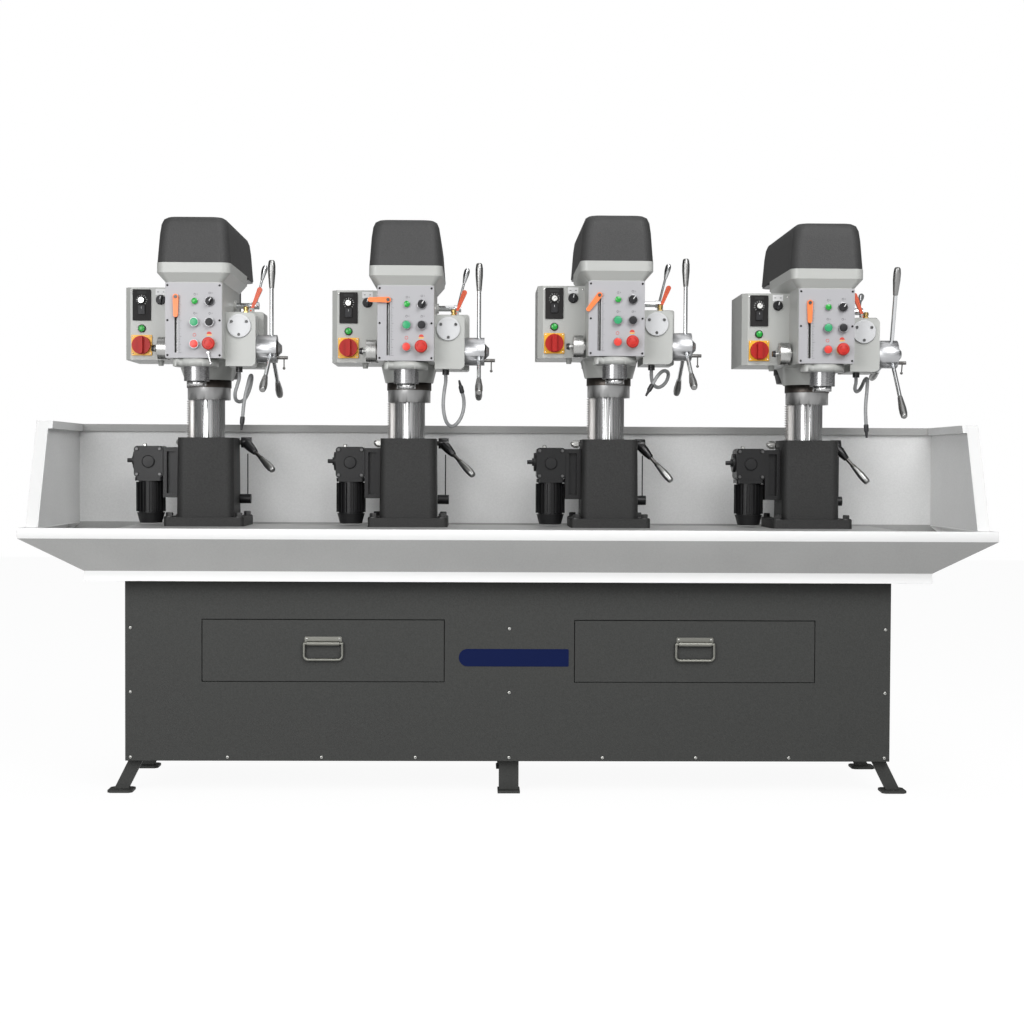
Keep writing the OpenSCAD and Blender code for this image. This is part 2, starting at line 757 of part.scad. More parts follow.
// Slanted cut that lets the bracket bear on the tapered side of the pedestal
module lift_face() {
  lean = ped_taper / 2;
  z_low = lift_box_up + lift_box_h - lift_bracket_h - 4;
  translate([lean * z_low / ped_h, 100, -1]) rotate([90, 0, 0]) linear_extrude(120)
    polygon([[0, 0], [lean * (lift_bracket_h + 2) / ped_h, lift_bracket_h + 2], [20, lift_bracket_h + 2], [20, 0]]);
}

// Worm gearbox with its cover and hand crank stub
module lift_gearbox() {
  x1 = -ped_w / 2 - lift_bracket_w;
  z0 = bed_z + lift_box_up;
  stub_z = z0 + lift_box_h / 2 + 4;
  face = x1 - lift_box_w;
  translate([x1 - lift_box_w / 2, 0, z0 + lift_box_h / 2]) rotate([90, 0, 0])
    linear_extrude(lift_box_d, center = true) round_rect(lift_box_w - 2 * seam, lift_box_h, 12);
  translate([0, 0, stub_z]) {
    bar_x(62, face - 8, face);
    bar_x(26, face - 14, face - 8 - seam);
    bar_x(lift_stub_d, face - 30, face - 14 - seam);
  }
}

// Finned motor hanging under the gearbox, with its fan cowl at the bottom
module lift_motor() {
  z1 = bed_z + lift_box_up;
  cowl_h = 34;
  flange_h = 12;
  body_l = lift_box_up - 8 - cowl_h - flange_h;
  r = lift_motor_d / 2;
  translate([-ped_w / 2 - lift_bracket_w - lift_box_w / 2, 0, 0]) {
    translate([0, 0, z1 - flange_h]) linear_extrude(flange_h - seam) round_rect(lift_box_w - 4, lift_box_d - 4, 10);
    translate([0, 0, z1 - flange_h - body_l]) {
      cylinder(r = r - 8, h = body_l);
      for (a = [0:lift_fins - 1]) rotate(a * 360 / lift_fins) translate([r - 10, -1.5, 4]) cube([10, 3, body_l - 8]);
    }
    translate([0, 0, z1 - flange_h - body_l - cowl_h]) cylinder(r1 = r - 12, r2 = r - 3, h = cowl_h);
  }
}

// Limit switch body and its upright trip rod
module limit_switch() {
  x0 = ped_w / 2;
  z = bed_z + 88;
  y = clamp_back - 18;
  translate([0, y, z]) {
    bar_x(32, x0 + seam, x0 + 38);
    translate([x0 + 26, 0, 16 + seam]) cylinder(d = 4, h = ped_h - 156);
  }
}

// Polished column with its lift rack, clamp collar and seat ring
module column(k) {
  color("silver") at_head(k) {
    column_tube();
    column_rack();
    collar(collar_z, collar_h, collar_d);
    collar(seat_ring_z, seat_ring_h, seat_ring_d);
  }
}

module column_tube() {
  col_z = ped_top - col_in;
  translate([0, 0, col_z]) difference() {
    cylinder(d = col_d, h = col_l);
    translate([0, 0, 24]) cylinder(d = col_d - 36, h = col_l - 48);
  }
}

module collar(z, h, d) {
  translate([0, 0, z]) difference() {
    cylinder(d = d, h = h);
    translate([0, 0, -1]) cylinder(d = col_d + 2 * fit, h = h + 2);
  }
}

// Straight rack with true tooth flanks, seated against the column
module column_rack() {
  pitch = PI * rack_m;
  z0 = ped_top - col_in + 10;
  teeth = floor((collar_z - z0) / pitch);
  root = rack_tip - 2.25 * rack_m;
  flank = tan(20);
  wide = pitch / 4 + 1.25 * rack_m * flank;
  thin = pitch / 4 - rack_m * flank;
  profile = [for (i = [0:teeth - 1]) for (c = [[root, -wide], [rack_tip, -thin], [rack_tip, thin], [root, wide]])
    [-c[0], (i + 0.5) * pitch + c[1]]];
  translate([0, 0, z0]) difference() {
    translate([0, rack_w / 2, 0]) rotate([90, 0, 0]) linear_extrude(rack_w)
      polygon(concat([[8 - col_d / 2, 0], [-root, 0]], profile, [[-root, teeth * pitch], [8 - col_d / 2, teeth * pitch]]));
    translate([0, 0, -1]) cylinder(d = col_d + 2 * fit, h = teeth * pitch + 2);
  }
}

// Cast head: skirt, body, flare, feed box and spring hub
module head_casting(k) {
  color([0.80, 0.80, 0.78]) at_head(k) {
    difference() {
      head_skirt();
      head_bores();
    }
    difference() {
      head_body();
      head_bores();
    }
    difference() {
      feed_box();
      head_bores();
    }
    feed_cover();
    hose_gland();
  }
  color("silver") at_head(k) spring_hub();
}

module head_outline(w, front, back, r, $fn = 32) {
  translate([0, (back - front) / 2]) round_rect(w, front + back, r);
}

// Tapered skirt between the seat ring and the body
module head_skirt() {
  hull() {
    translate([0, 0, skirt_z]) cylinder(d = 160, h = 1, $fn = 32);
    translate([0, 0, body_z - 1]) linear_extrude(1 - seam) round_rect(head_w, 2 * head_back, 34, $fn = 32);
  }
}

module head_body() {
  translate([0, 0, body_z]) linear_extrude(body_h) head_outline(head_w, head_front, head_back, 16);
  hull() {
    translate([0, 0, flare_z]) linear_extrude(0.5) head_outline(head_w, head_front, head_back, 16);
    translate([0, 0, band_z - 0.5]) linear_extrude(0.5) head_outline(band_w, head_front + band_proud, band_back, 26);
  }
  translate([0, 0, band_z]) linear_extrude(band_h) head_outline(band_w, head_front + band_proud, band_back, 26);
  translate([0, gear_y, gear_z]) bar_x(gear_d + 14, side_x - 10, side_x + 8);
}

// Feed gearbox bolted to the right of the head, with a front and a rear part
module feed_box() {
  rear_w = feed_w + feed_rear_more;
  standing(feed_front, feed_split - feed_front + 1) translate([side_x, feed_z]) side_outline(feed_w, feed_h, 16);
  standing(feed_split, feed_end - feed_split) translate([side_x, feed_z]) side_outline(rear_w, feed_h + feed_rear_up, 8);
  for (y = [-1, 1]) translate([feed_lever_x - 9, feed_lever_y + y * 8.5 - 2, feed_rear_top - 6]) cube([18, 4, 20]);
}

// Front view of a box on the head's side, flat against it and round at its free corners
module side_outline(w, h, r) {
  hull() {
    translate([seam, 0]) square([1, h]);
    for (z = [r, h - r]) translate([w - r, z]) circle(r);
  }
}

// Round cover on the front of the feed box
module feed_cover() {
  translate([side_x + 43, feed_front - seam, feed_z + feed_h - 43]) knob_out(75, 0, 6);
}

// Bores and slots for the quill, column, shafts, depth rod and stop button
module head_bores() {
  chamber_y0 = capstan_y + capstan_shaft_d / 2 + casting_wall;
  chamber_y1 = -col_d / 2 - casting_wall;
  translate([casting_wall - side_x, chamber_y0, body_z + casting_wall])
    cube([head_w - 2 * casting_wall, chamber_y1 - chamber_y0, body_h - 2 * casting_wall]);
  translate([0, 0, skirt_z - 1]) cylinder(d = col_d + 2 * fit, h = col_l - col_in - col_free - collar_h - seat_ring_h + 2);
  translate([0, -quill_front, body_z - 1]) cylinder(d = quill_d + 2 * fit, h = quill_l - quill_nose + 10);
  translate([-rod_x, rod_y, body_z - 1]) cylinder(d = rod_d + 3, h = pivot_z - body_z + 20);
  standing(-head_front - 1, rod_y + head_front + 1) translate([-rod_x, (slot_top + slot_bottom) / 2])
    square([slot_w, slot_top - slot_bottom], center = true);
  translate([0, capstan_y, capstan_z]) bar_x(capstan_shaft_d + 2 * fit, -side_x - 1, hub_x + 1);
  translate([0, gear_y, gear_z]) bar_x(gear_d + 2 * fit, side_x - 40, side_x + 20);
  translate([estop_x, -head_front, estop_z]) rotate([-90, 0, 0]) cylinder(d = stem_d + 6, h = 34);
  translate([feed_lever_x, feed_lever_y, feed_rear_top + 6]) rotate([90, 0, 0])
    cylinder(d = 6 + 2 * fit, h = 40, center = true);
}

// Return spring hub and its lock knob, opposite the capstan
module spring_hub() {
  translate([0, capstan_y, capstan_z]) {
    bar_x(34, -side_x - 8, -side_x - seam);
    bar_x(73, -side_x - 40, -side_x - 8 - seam);
    bar_x(10, -side_x - 50, -side_x - 40 - seam);
    translate([-side_x - 62, 0, 0]) rotate([0, 90, 0]) cylinder(d1 = 18, d2 = 24, h = 12 - seam);
  }
}

// Gland under the feed box that the coolant hose comes out of
module hose_gland() {
  start = hose_routes[0][0];
  translate([start[0], start[1], gland_z]) cylinder(d = hose_d + 10, h = feed_z - gland_z - seam);
}

// Motor cover, the plate that closes it behind the band, and the main motor under it
module motor_cover(k) {
  color([0.29, 0.29, 0.29]) at_head(k) {
    difference() {
      cover_shape(0, cover_z);
      cover_shape(cover_t, cover_z - 0.01);
    }
    rear_plate();
  }
  color([0.15, 0.15, 0.15]) at_head(k) main_motor();
}

// Stacked outlines of the cover, drawn in by the wall and rounded to the top
module cover_shape(wall, z) {
  steps = [[0, 0], [0.62, 0.45], [0.84, 0.75], [0.95, 1.2], [1, 1.9]];
  hull() for (s = steps) {
    inset = 2 * wall + s[1] * cover_draft;
    translate([0, 0, z + s[0] * (cover_h - wall) - (s[0] == 1 ? 0.5 : 0)]) linear_extrude(0.5)
      translate([0, (cover_back - head_front - band_proud) / 2])
      round_rect(band_w - inset, head_front + band_proud + cover_back - inset, 34 - wall, $fn = 32);
  }
}

module rear_plate() {
  l = cover_back - band_back - cover_t / 2;
  translate([0, band_back + l / 2, cover_z - 6]) linear_extrude(6) round_rect(band_w - cover_t, l, 33);
}

module main_motor() {
  z1 = cover_z - 6;
  translate([0, motor_back, z1 - motor_l]) {
    cylinder(d1 = motor_d - 20, d2 = motor_d - 6, h = 30);
    translate([0, 0, 30]) cylinder(d = motor_d, h = motor_l - 44);
    translate([0, 0, motor_l - 14]) cylinder(d = motor_d - 2, h = 14 - seam);
  }
}

// Electrical box, front panel and their fixed controls
module control_box(k) {
  color([0.80, 0.80, 0.78]) at_head(k) electrical_box();
  color([0.84, 0.84, 0.86]) at_head(k) front_panel();
  color("dimgray") at_head(k) {
    panel_buttons();
    box_switches();
  }
}

module electrical_box() {
  difference() {
    translate([0, 0, box_z]) linear_extrude(box_h) box_outline(0);
    translate([0, 0, box_z + box_t]) linear_extrude(box_h - 2 * box_t) box_outline(box_t);
  }
  translate([box_x + 105, box_front + 60, box_z - 16 - seam]) cylinder(d1 = 16, d2 = 22, h = 16);
}

// Plan of the electrical box, drawn in by a wall, with its outer front edge cut off
module box_outline(t) {
  c = box_chamfer;
  x1 = -side_x - seam - t;
  y0 = box_front + t;
  polygon([[x1, y0], [box_x + c + t * 0.41, y0], [box_x + t, box_front + c + t * 0.41],
    [box_x + t, box_front + box_d - t], [x1, box_front + box_d - t]]);
}

module front_panel() {
  difference() {
    standing(-head_front - panel_t, panel_t) translate([0, panel_z]) round_rect(panel_w, panel_h, 5);
    standing(-head_front - panel_t - 1, panel_t + 2) translate([-rod_x, (slot_top + slot_bottom) / 2])
      square([slot_w, slot_top - slot_bottom], center = true);
    translate([estop_x, -head_front + 1, estop_z]) knob_out(stem_d + 2 * fit, 0, panel_t + 2);
  }
}

// Lamp, selector, push buttons and the collar of the emergency stop
module panel_buttons() {
  y0 = -head_front - panel_t - seam;
  translate([4, y0, panel_z + button_z[0]]) knob_out(19, 0, 9);
  translate([51, y0, panel_z + button_z[0]]) selector(-35);
  for (p = [[3, button_z[1]], [51, button_z[1]], [3, button_z[2]]])
    translate([p[0], y0, panel_z + p[1]]) knob_out(button_d, 0, 13);
  difference() {
    translate([estop_x, y0, estop_z]) knob_out(32, 0, 8);
    translate([estop_x, y0 + 1, estop_z]) knob_out(stem_d + 2 * fit, 0, 10);
  }
}

// Rotary selector: round base with a grip bar, turned to its position
module selector(turn) {
  knob_out(27, 0, 9);
  translate([0, -9 - seam, 0]) rotate([90, 0, 0]) rotate(turn) linear_extrude(11) round_rect(9, 25, 3);
}

// Speed panel, lamp, selector and main switch on the electrical box
module box_switches() {
  x = box_x + 54;
  top = box_z + box_h;
  face = box_front - seam;
  main_z = top - 187;
  standing(face - 4, 4) translate([x, top - 57]) round_rect(58, 100, 3);
  translate([x, face - 4 - seam, top - 42]) knob_out(18, 0, 14);
  translate([x, face - 4 - seam, top - 73]) rotate([90, 0, 0]) linear_extrude(6) round_rect(20, 28, 2);
  translate([box_x + 115, face, top - 40]) selector(-10);
  translate([x, face, top - 133]) knob_out(20, 0, 9);
  standing(face - 6, 6) translate([x, main_z]) round_rect(switch_plate, switch_plate, 3);
  translate([x, face - 6 - seam, main_z]) knob_out(switch_d, 0, 14);
  translate([x, face - 20 - 2 * seam, main_z]) rotate([90, 0, 0]) linear_extrude(14) round_rect(15, switch_d - 4, 6);
}

// Gooseneck coolant hose and its nozzle
module hose(k) {
  route = hose_routes[k - 1];
  n = len(route);
  aim = unit(route[n - 1] - route[n - 2]);
  end = route[n - 1];
  color([0.25, 0.25, 0.27]) at_head(k) {
    tube(route, [for (p = route) hose_d]);
    tube([end, end + aim * nozzle_l * 0.55, end + aim * nozzle_l], [hose_d + 3, hose_d + 2, hose_d - 5]);
  }
}

// Quill with its depth ring and depth rod
module quill(k) {
  color("silver") at_head(k) {
    translate([0, -quill_front, quill_z]) difference() {
      cylinder(d = quill_d, h = quill_l);
      translate([0, 0, -1]) cylinder(d = spindle_d + 2 * fit, h = quill_l + 2);
    }
    depth_rod();
  }
  color([0.80, 0.80, 0.78]) at_head(k) depth_ring();
}

module depth_ring() {
  rod_in = rod_y + quill_front;
  translate([0, -quill_front, ring_z]) difference() {
    linear_extrude(ring_t) {
      circle(d = ring_d);
      translate([-rod_x, rod_in]) circle(14);
      translate([-rod_x, rod_in - 14]) square([rod_x + 40, 28]);
      translate([-rod_x - 14, rod_in]) square([40, -rod_in]);
    }
    translate([0, 0, -1]) cylinder(d = quill_d + 2 * fit, h = ring_t + 2);
  }
}

module depth_rod() {
  rod_z = ring_z + ring_t;
  difference() {
    translate([-rod_x, rod_y, rod_z]) cylinder(d = rod_d, h = pivot_z + 12 - rod_z);
    translate([-rod_x, rod_y - rod_d, pivot_z]) rotate([-90, 0, 0]) cylinder(d = 7 + 2 * fit, h = rod_d + 3);
  }
}

// Spindle with its nose flange and taper socket, and the drive shaft above it
module spindle(k) {
  nose = 16;
  small_d = socket_d - socket_taper * socket_l;
  drive_z = socket_l - nose - seat;
  color("lightsteelblue") at_head(k) translate([0, -quill_front, quill_z]) {
    difference() {
      union() {
        translate([0, 0, seam - seat]) cylinder(d = spindle_d, h = drive_z - seam + seat);
        translate([0, 0, -nose - seat]) cylinder(d = spindle_d + 14, h = nose);
      }
      translate([0, 0, -nose - seat]) cylinder(d1 = socket_d, d2 = small_d, h = socket_l);
    }
    translate([0, 0, drive_z + seam]) cylinder(d = spindle_d - 10, h = quill_l - 4 - drive_z);
  }
}

// Capstan: hub with its shaft, and three levers screwed into the hub
module capstan(k) {
  at_head(k) translate([0, capstan_y, capstan_z]) rotate([capstan_rest[k - 1], 0, 0]) {
    color("silver") capstan_hub();
    for (a = [0, 120, 240]) rotate([a, 0, 0]) color("darkgray") capstan_lever();
    color("dimgray") feed_pin();
  }
}

module capstan_hub() {
  difference() {
    union() {
      bar_x(hub_d, hub_x, hub_x + hub_l);
      translate([hub_x + hub_l, 0, 0]) rotate([0, 90, 0]) cylinder(d1 = hub_d - 36, d2 = hub_d - 66, h = 15);
      bar_x(capstan_shaft_d, -side_x, hub_x + 1);
    }
    for (a = [0, 120, 240]) rotate([a, 0, 0])
      translate([lever_x(), 0, lever_root()]) cylinder(d = lever_d + 2 * fit, h = hub_d);
  }
}

// Crank pin on the hub's face with its cross pin
module feed_pin() {
  x0 = hub_x + hub_l + seam;
  z = 17 - hub_d / 2;
  translate([0, 0, z]) bar_x(11, x0, x0 + 34);
  translate([x0 + 22, 0, z - 34]) {
    cylinder(d = 4, h = 28.5 - seam);
    sphere(d = 9, $fn = 24);
  }
}
function lever_x() = hub_x + hub_l - 18;
function lever_root() = hub_d / 2 - 20;

module capstan_lever() {
  translate([lever_x(), 0, 0]) {
    translate([0, 0, lever_root() + seam]) cylinder(d = lever_d, h = lever_l - grip_l - lever_root() - seam);
    translate([0, 0, lever_l - grip_l]) grip(grip_l, grip_d, lever_d);
  }
}

// Orange clamp lever of the depth stop, in front of the panel
module depth_lever(k) {
  y0 = -head_front - panel_t - 1;
  t = 9;
  color([1, 0.5, 0.25]) at_head(k) translate([-rod_x, 0, pivot_z]) rotate([0, depth_rest[k - 1], 0]) {
    standing(y0 - t, t) hull() {
      circle(d = 18);
      translate([0, -depth_lever_l + 7]) circle(d = 14);
    }
    translate([0, y0, 0]) rotate([-90, 0, 0]) cylinder(d = 7, h = rod_y - y0 + 2);
  }
}

// Gear change shaft with its cranked lever and grip
module gear_lever(k) {
  lean = 14;
  boss = 24;
  arm_l = gear_l / cos(lean) - 52;
  color("silver") at_head(k) translate([0, gear_y, gear_z]) rotate([gear_rest[k - 1], 0, 0]) {
    bar_x(gear_d, side_x - 30, gear_end - boss);
    difference() {
      bar_x(boss, gear_end - boss, gear_end);
      translate([gear_end - boss / 2, 0, 0]) rotate([0, lean, 0]) cylinder(d = 8 + 2 * fit, h = boss);
    }
    translate([gear_end - boss / 2, 0, 0]) rotate([0, lean, 0]) {
      cylinder(d = 8, h = arm_l);
      translate([0, 0, arm_l]) grip(52, 19, 8);
    }
  }
}

// Flat orange lever that engages the power feed, leaning to the right
module feed_lever(k) {
  color([0.92, 0.35, 0.2]) at_head(k) translate([feed_lever_x, feed_lever_y, feed_rear_top + 6])
    rotate([0, 22 + feed_rest[k - 1], 0]) {
    rotate([90, 0, 0]) cylinder(d = 6, h = 21, center = true);
    standing(-6, 12) union() {
      circle(d = 11);
      polygon([[-4, 3], [4, 3], [8, feed_lever_l - 8], [-8, feed_lever_l - 8]]);
      translate([0, feed_lever_l - 8]) circle(d = 16);
    }
  }
}

// Clamp lever of a pedestal: bolt, hub and cranked arm with its grip
module clamp_lever(k) {
  hub0 = ped_w / 2 + 2;
  hub1 = hub0 + 34;
  lean = atan2(clamp_reach, clamp_out);
  arm_l = norm([clamp_reach, clamp_out]);
  at_station(k) translate([0, clamp_back, clamp_z]) rotate([clamp_rest[k - 1], 0, 0]) {
    color("dimgray") difference() {
      union() {
        bar_x(clamp_d, -ped_w / 2 - 13, hub0 + 1);
        bar_x(36, hub0, hub1);
      }
      translate([hub1 - 20, 0, 0]) rotate([90, 0, 0]) rotate([0, 90 - lean, 0]) cylinder(d = 12 + 2 * fit, h = 40);
    }
    color("silver") translate([hub1 - 20, 0, 0]) rotate([90, 0, 0]) rotate([0, 90 - lean, 0]) {
      cylinder(d = 12, h = arm_l - 84);
      translate([0, 0, arm_l - 84]) grip(84, 25, 12);
    }
  }
}

// Emergency stop mushroom with its stem
module estop(k) {
  y0 = -head_front - panel_t - 8 - estop_travel - 1;
  color("red") at_head(k) translate([estop_x, y0, estop_z]) rotate([90, 0, 0]) {
    rotate_extrude() polygon([[0, 0], [estop_d / 2 - 2, 0], [estop_d / 2, 3], [estop_d / 2, 9],
      [estop_d / 2 - 3, 13], [0, 15]]);
    translate([0, 0, -38]) cylinder(d = stem_d, h = 39);
  }
}

cabinet();
drawer(-1);  // drawer_left
drawer(1);  // drawer_right
bail(-1);  // bail_left
bail(1);  // bail_right
chip_tray();
pedestals();
lift_drives();
for (k = stations) {
  column(k);
  head_casting(k);
  motor_cover(k);
  control_box(k);
  hose(k);
  quill(k);
  spindle(k);
  capstan(k);
  depth_lever(k);
  gear_lever(k);
  feed_lever(k);
  clamp_lever(k);
  estop(k);
}
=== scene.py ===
import math

import bmesh
import bpy
from mathutils import Matrix, Vector


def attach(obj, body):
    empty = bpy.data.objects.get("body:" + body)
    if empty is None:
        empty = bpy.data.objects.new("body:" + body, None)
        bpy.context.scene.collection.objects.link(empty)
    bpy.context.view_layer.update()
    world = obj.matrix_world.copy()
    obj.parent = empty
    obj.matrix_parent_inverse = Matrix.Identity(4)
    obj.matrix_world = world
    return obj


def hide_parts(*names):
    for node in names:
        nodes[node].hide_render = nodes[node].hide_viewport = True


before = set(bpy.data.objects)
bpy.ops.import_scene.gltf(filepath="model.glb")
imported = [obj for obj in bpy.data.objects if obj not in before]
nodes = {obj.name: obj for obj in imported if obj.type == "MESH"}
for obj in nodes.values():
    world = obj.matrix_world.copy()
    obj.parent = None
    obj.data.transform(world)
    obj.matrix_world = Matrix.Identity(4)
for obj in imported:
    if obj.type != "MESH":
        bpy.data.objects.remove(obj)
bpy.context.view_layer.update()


# Camera: it stands about six metres in front of the machine, a little left of its middle and at chest
# height, turned slightly to the right and tipped slightly down, level within half a degree.
camera_place = Vector((-0.1065, -5.933, 1.0545))
camera_yaw = math.radians(1.139)
camera_tip = math.radians(1.524)
camera_roll = math.radians(0.274)
lens_pixels, picture_pixels = 1773.0, 1024.0
film_width = 36.0
camera_data = bpy.data.cameras.new("studio_camera")
camera_data.sensor_width = film_width
camera_data.lens = lens_pixels * film_width / picture_pixels
camera_data.clip_end = 60.0
ahead = Vector((math.sin(camera_yaw) * math.cos(camera_tip),
                math.cos(camera_yaw) * math.cos(camera_tip), -math.sin(camera_tip)))
level = Vector((math.cos(camera_yaw), -math.sin(camera_yaw), 0.0))
upright = level.cross(ahead)
across_image = level * math.cos(camera_roll) + upright * math.sin(camera_roll)
up_image = upright * math.cos(camera_roll) - level * math.sin(camera_roll)
camera = bpy.data.objects.new("studio_camera", camera_data)
camera.matrix_world = Matrix.Translation(camera_place) @ Matrix(
    (across_image, up_image, -ahead)).transposed().to_4x4()
bpy.context.scene.collection.objects.link(camera)
bpy.context.scene.camera = camera


# Coolant hoses: self-supporting goosenecks of interlocked plastic links, grey, with a black
# nozzle. Each screws into the gland under its feed box and keeps the bend it was set to.
stations = (1, 2, 3, 4)
station_pitch, row_middle = 0.668, 2.5
station_x = {k: (k - row_middle) * station_pitch for k in stations}
head_rise = {1: 0.0, 2: -0.005, 3: 0.014, 4: -0.006}
column_y = 0.020
hose_diameter = 0.012
hose_link = 0.0052
hose_routes = {
    1: [(.125, -.190, 1.350), (.125, -.190, 1.330), (.119, -.194, 1.306), (.112, -.190, 1.282),
        (.112, -.172, 1.262), (.121, -.147, 1.256), (.133, -.124, 1.264), (.144, -.110, 1.286),
        (.152, -.108, 1.312), (.157, -.121, 1.334), (.158, -.143, 1.342), (.156, -.166, 1.334),
        (.152, -.182, 1.310), (.147, -.190, 1.284), (.142, -.194, 1.256), (.139, -.196, 1.228),
        (.137, -.197, 1.204)],
    2: [(.125, -.190, 1.350), (.125, -.190, 1.328), (.121, -.195, 1.300), (.118, -.200, 1.270),
        (.118, -.202, 1.242), (.122, -.200, 1.216), (.130, -.190, 1.194), (.143, -.173, 1.184),
        (.158, -.155, 1.190), (.171, -.142, 1.207), (.180, -.136, 1.229), (.184, -.136, 1.253),
        (.183, -.142, 1.276), (.178, -.151, 1.296)],
    3: [(.125, -.190, 1.350), (.125, -.190, 1.332), (.129, -.183, 1.312), (.138, -.171, 1.300),
        (.151, -.158, 1.296), (.166, -.149, 1.302), (.179, -.146, 1.317), (.184, -.154, 1.335),
        (.179, -.171, 1.346), (.165, -.190, 1.348), (.150, -.206, 1.338), (.136, -.217, 1.320),
        (.124, -.224, 1.300)],
    4: [(.125, -.190, 1.350), (.125, -.190, 1.334), (.124, -.180, 1.316), (.132, -.162, 1.306),
        (.146, -.144, 1.311), (.157, -.132, 1.325), (.164, -.132, 1.341), (.168, -.146, 1.349),
        (.168, -.164, 1.343), (.165, -.176, 1.322), (.162, -.182, 1.296), (.159, -.185, 1.268),
        (.158, -.187, 1.240), (.159, -.188, 1.214), (.160, -.188, 1.196)],
}


def smooth_route(points, steps):
    """Points of a smooth curve through the route, a few to each stretch."""
    pts = [Vector(p) for p in points]
    ends = [pts[0] * 2 - pts[1]] + pts + [pts[-1] * 2 - pts[-2]]
    line = []
    for a, b, c, d in zip(ends, ends[1:], ends[2:], ends[3:]):
        for i in range(steps):
            t = i / steps
            line.append(0.5 * (2 * b + (c - a) * t + (2 * a - 5 * b + 4 * c - d) * t * t
                               + (3 * b - a - 3 * c + d) * t ** 3))
    return line + [pts[-1]]


def even_route(line, step):
    """The same curve with points a fixed step apart, and its length."""
    runs = [(b - a).length for a, b in zip(line, line[1:])]
    total = sum(runs)
    count = max(2, round(total / step))
    spaced, i, done = [], 0, 0.0
    for j in range(count + 1):
        want = total * j / count
        while i < len(runs) - 1 and done + runs[i] < want:
            done += runs[i]
            i += 1
        spaced.append(line[i].lerp(line[i + 1], min(1.0, (want - done) / runs[i])))
    return spaced, total


def tube_mesh(name, line, radii, sides):
    """Closed round tube along a line of points, with one radius to each point."""
    bm = bmesh.new()
    rings = []
    side = None
    for i, p in enumerate(line):
        heading = (line[min(i + 1, len(line) - 1)] - line[max(i - 1, 0)]).normalized()
        side = heading.orthogonal() if side is None else side - heading * side.dot(heading)
        side.normalize()
        other = heading.cross(side)
        rings.append([bm.verts.new(p + radii[i] * (side * math.cos(2 * math.pi * a / sides)
                                                   + other * math.sin(2 * math.pi * a / sides)))
                      for a in range(sides)])
    for r0, r1 in zip(rings, rings[1:]):
        for a in range(sides):
            bm.faces.new((r0[a], r0[(a + 1) % sides], r1[(a + 1) % sides], r1[a]))
    bm.faces.new(list(reversed(rings[0])))
    bm.faces.new(rings[-1])
    bmesh.ops.recalc_face_normals(bm, faces=bm.faces)
    mesh = bpy.data.meshes.new(name)
    bm.to_mesh(mesh)
    bm.free()
    mesh.shade_smooth()
    return mesh


def add_noise(tree, where, scale, detail):
    """Noise texture laid over the piece."""
    noise = tree.nodes.new("ShaderNodeTexNoise")
    noise.inputs["Scale"].default_value = scale
    noise.inputs["Detail"].default_value = detail
    tree.links.new(where, noise.inputs["Vector"])
    return noise.outputs[0]


def drift_tone(tree, colour, drift, texture):
    """Colour that goes a little darker and lighter with a texture."""
    factor, darker, lighter, mixed = 0, 6, 7, 2
    tone = tree.nodes.new("ShaderNodeMix")
    tone.data_type = "RGBA"
    tone.inputs[darker].default_value = tuple(c * (1 - drift) for c in colour) + (1.0,)
    tone.inputs[lighter].default_value = tuple(min(1.0, c * (1 + drift)) for c in colour) + (1.0,)
    tree.links.new(texture, tone.inputs[factor])
    tree.links.new(tone.outputs[mixed], tree.nodes["Principled BSDF"].inputs["Base Color"])


def drift_gloss(tree, smoothest, roughest, texture):
    """Roughness that runs between two values with a texture."""
    value, to_low, to_high = 0, 3, 4
    gloss = tree.nodes.new("ShaderNodeMapRange")
    gloss.inputs[to_low].default_value = smoothest
    gloss.inputs[to_high].default_value = roughest
    tree.links.new(texture, gloss.inputs[value])
    tree.links.new(gloss.outputs[0], tree.nodes["Principled BSDF"].inputs["Roughness"])


def raise_skin(tree, strength, depth, texture):
    """Fine relief that follows a texture."""
    bump = tree.nodes.new("ShaderNodeBump")
    bump.inputs["Strength"].default_value = strength
    bump.inputs["Distance"].default_value = depth
    tree.links.new(texture, bump.inputs["Height"])
    tree.links.new(bump.outputs["Normal"], tree.nodes["Principled BSDF"].inputs["Normal"])


def moulded(name, colour, rough, grain=0.0006, depth=0.00008, drift=0.06, speckle=0.2, mirror=0.5):
    """Moulded or painted finish: a fine skin texture, with speckle and slow drift of tone and gloss."""
    material = bpy.data.materials.new(name)
    material.use_nodes = True
    tree = material.node_tree
    tree.nodes["Principled BSDF"].inputs["Specular IOR Level"].default_value = mirror
    where = tree.nodes.new("ShaderNodeTexCoord").outputs["Object"]
    skin = add_noise(tree, where, 1.0 / grain, 3.0)
    cloud = add_noise(tree, where, 7.0, 5.0)
    raise_skin(tree, 0.6, depth, skin)
    share, slow, fine_part = 0, 2, 3
    spots = tree.nodes.new("ShaderNodeMix")
    spots.inputs[share].default_value = speckle
    tree.links.new(cloud, spots.inputs[slow])
    tree.links.new(skin, spots.inputs[fine_part])
    drift_tone(tree, colour, drift, spots.outputs[0])
    gloss_swing = 0.08
    drift_gloss(tree, max(0.05, rough - gloss_swing), min(1.0, rough + gloss_swing), cloud)
    return material


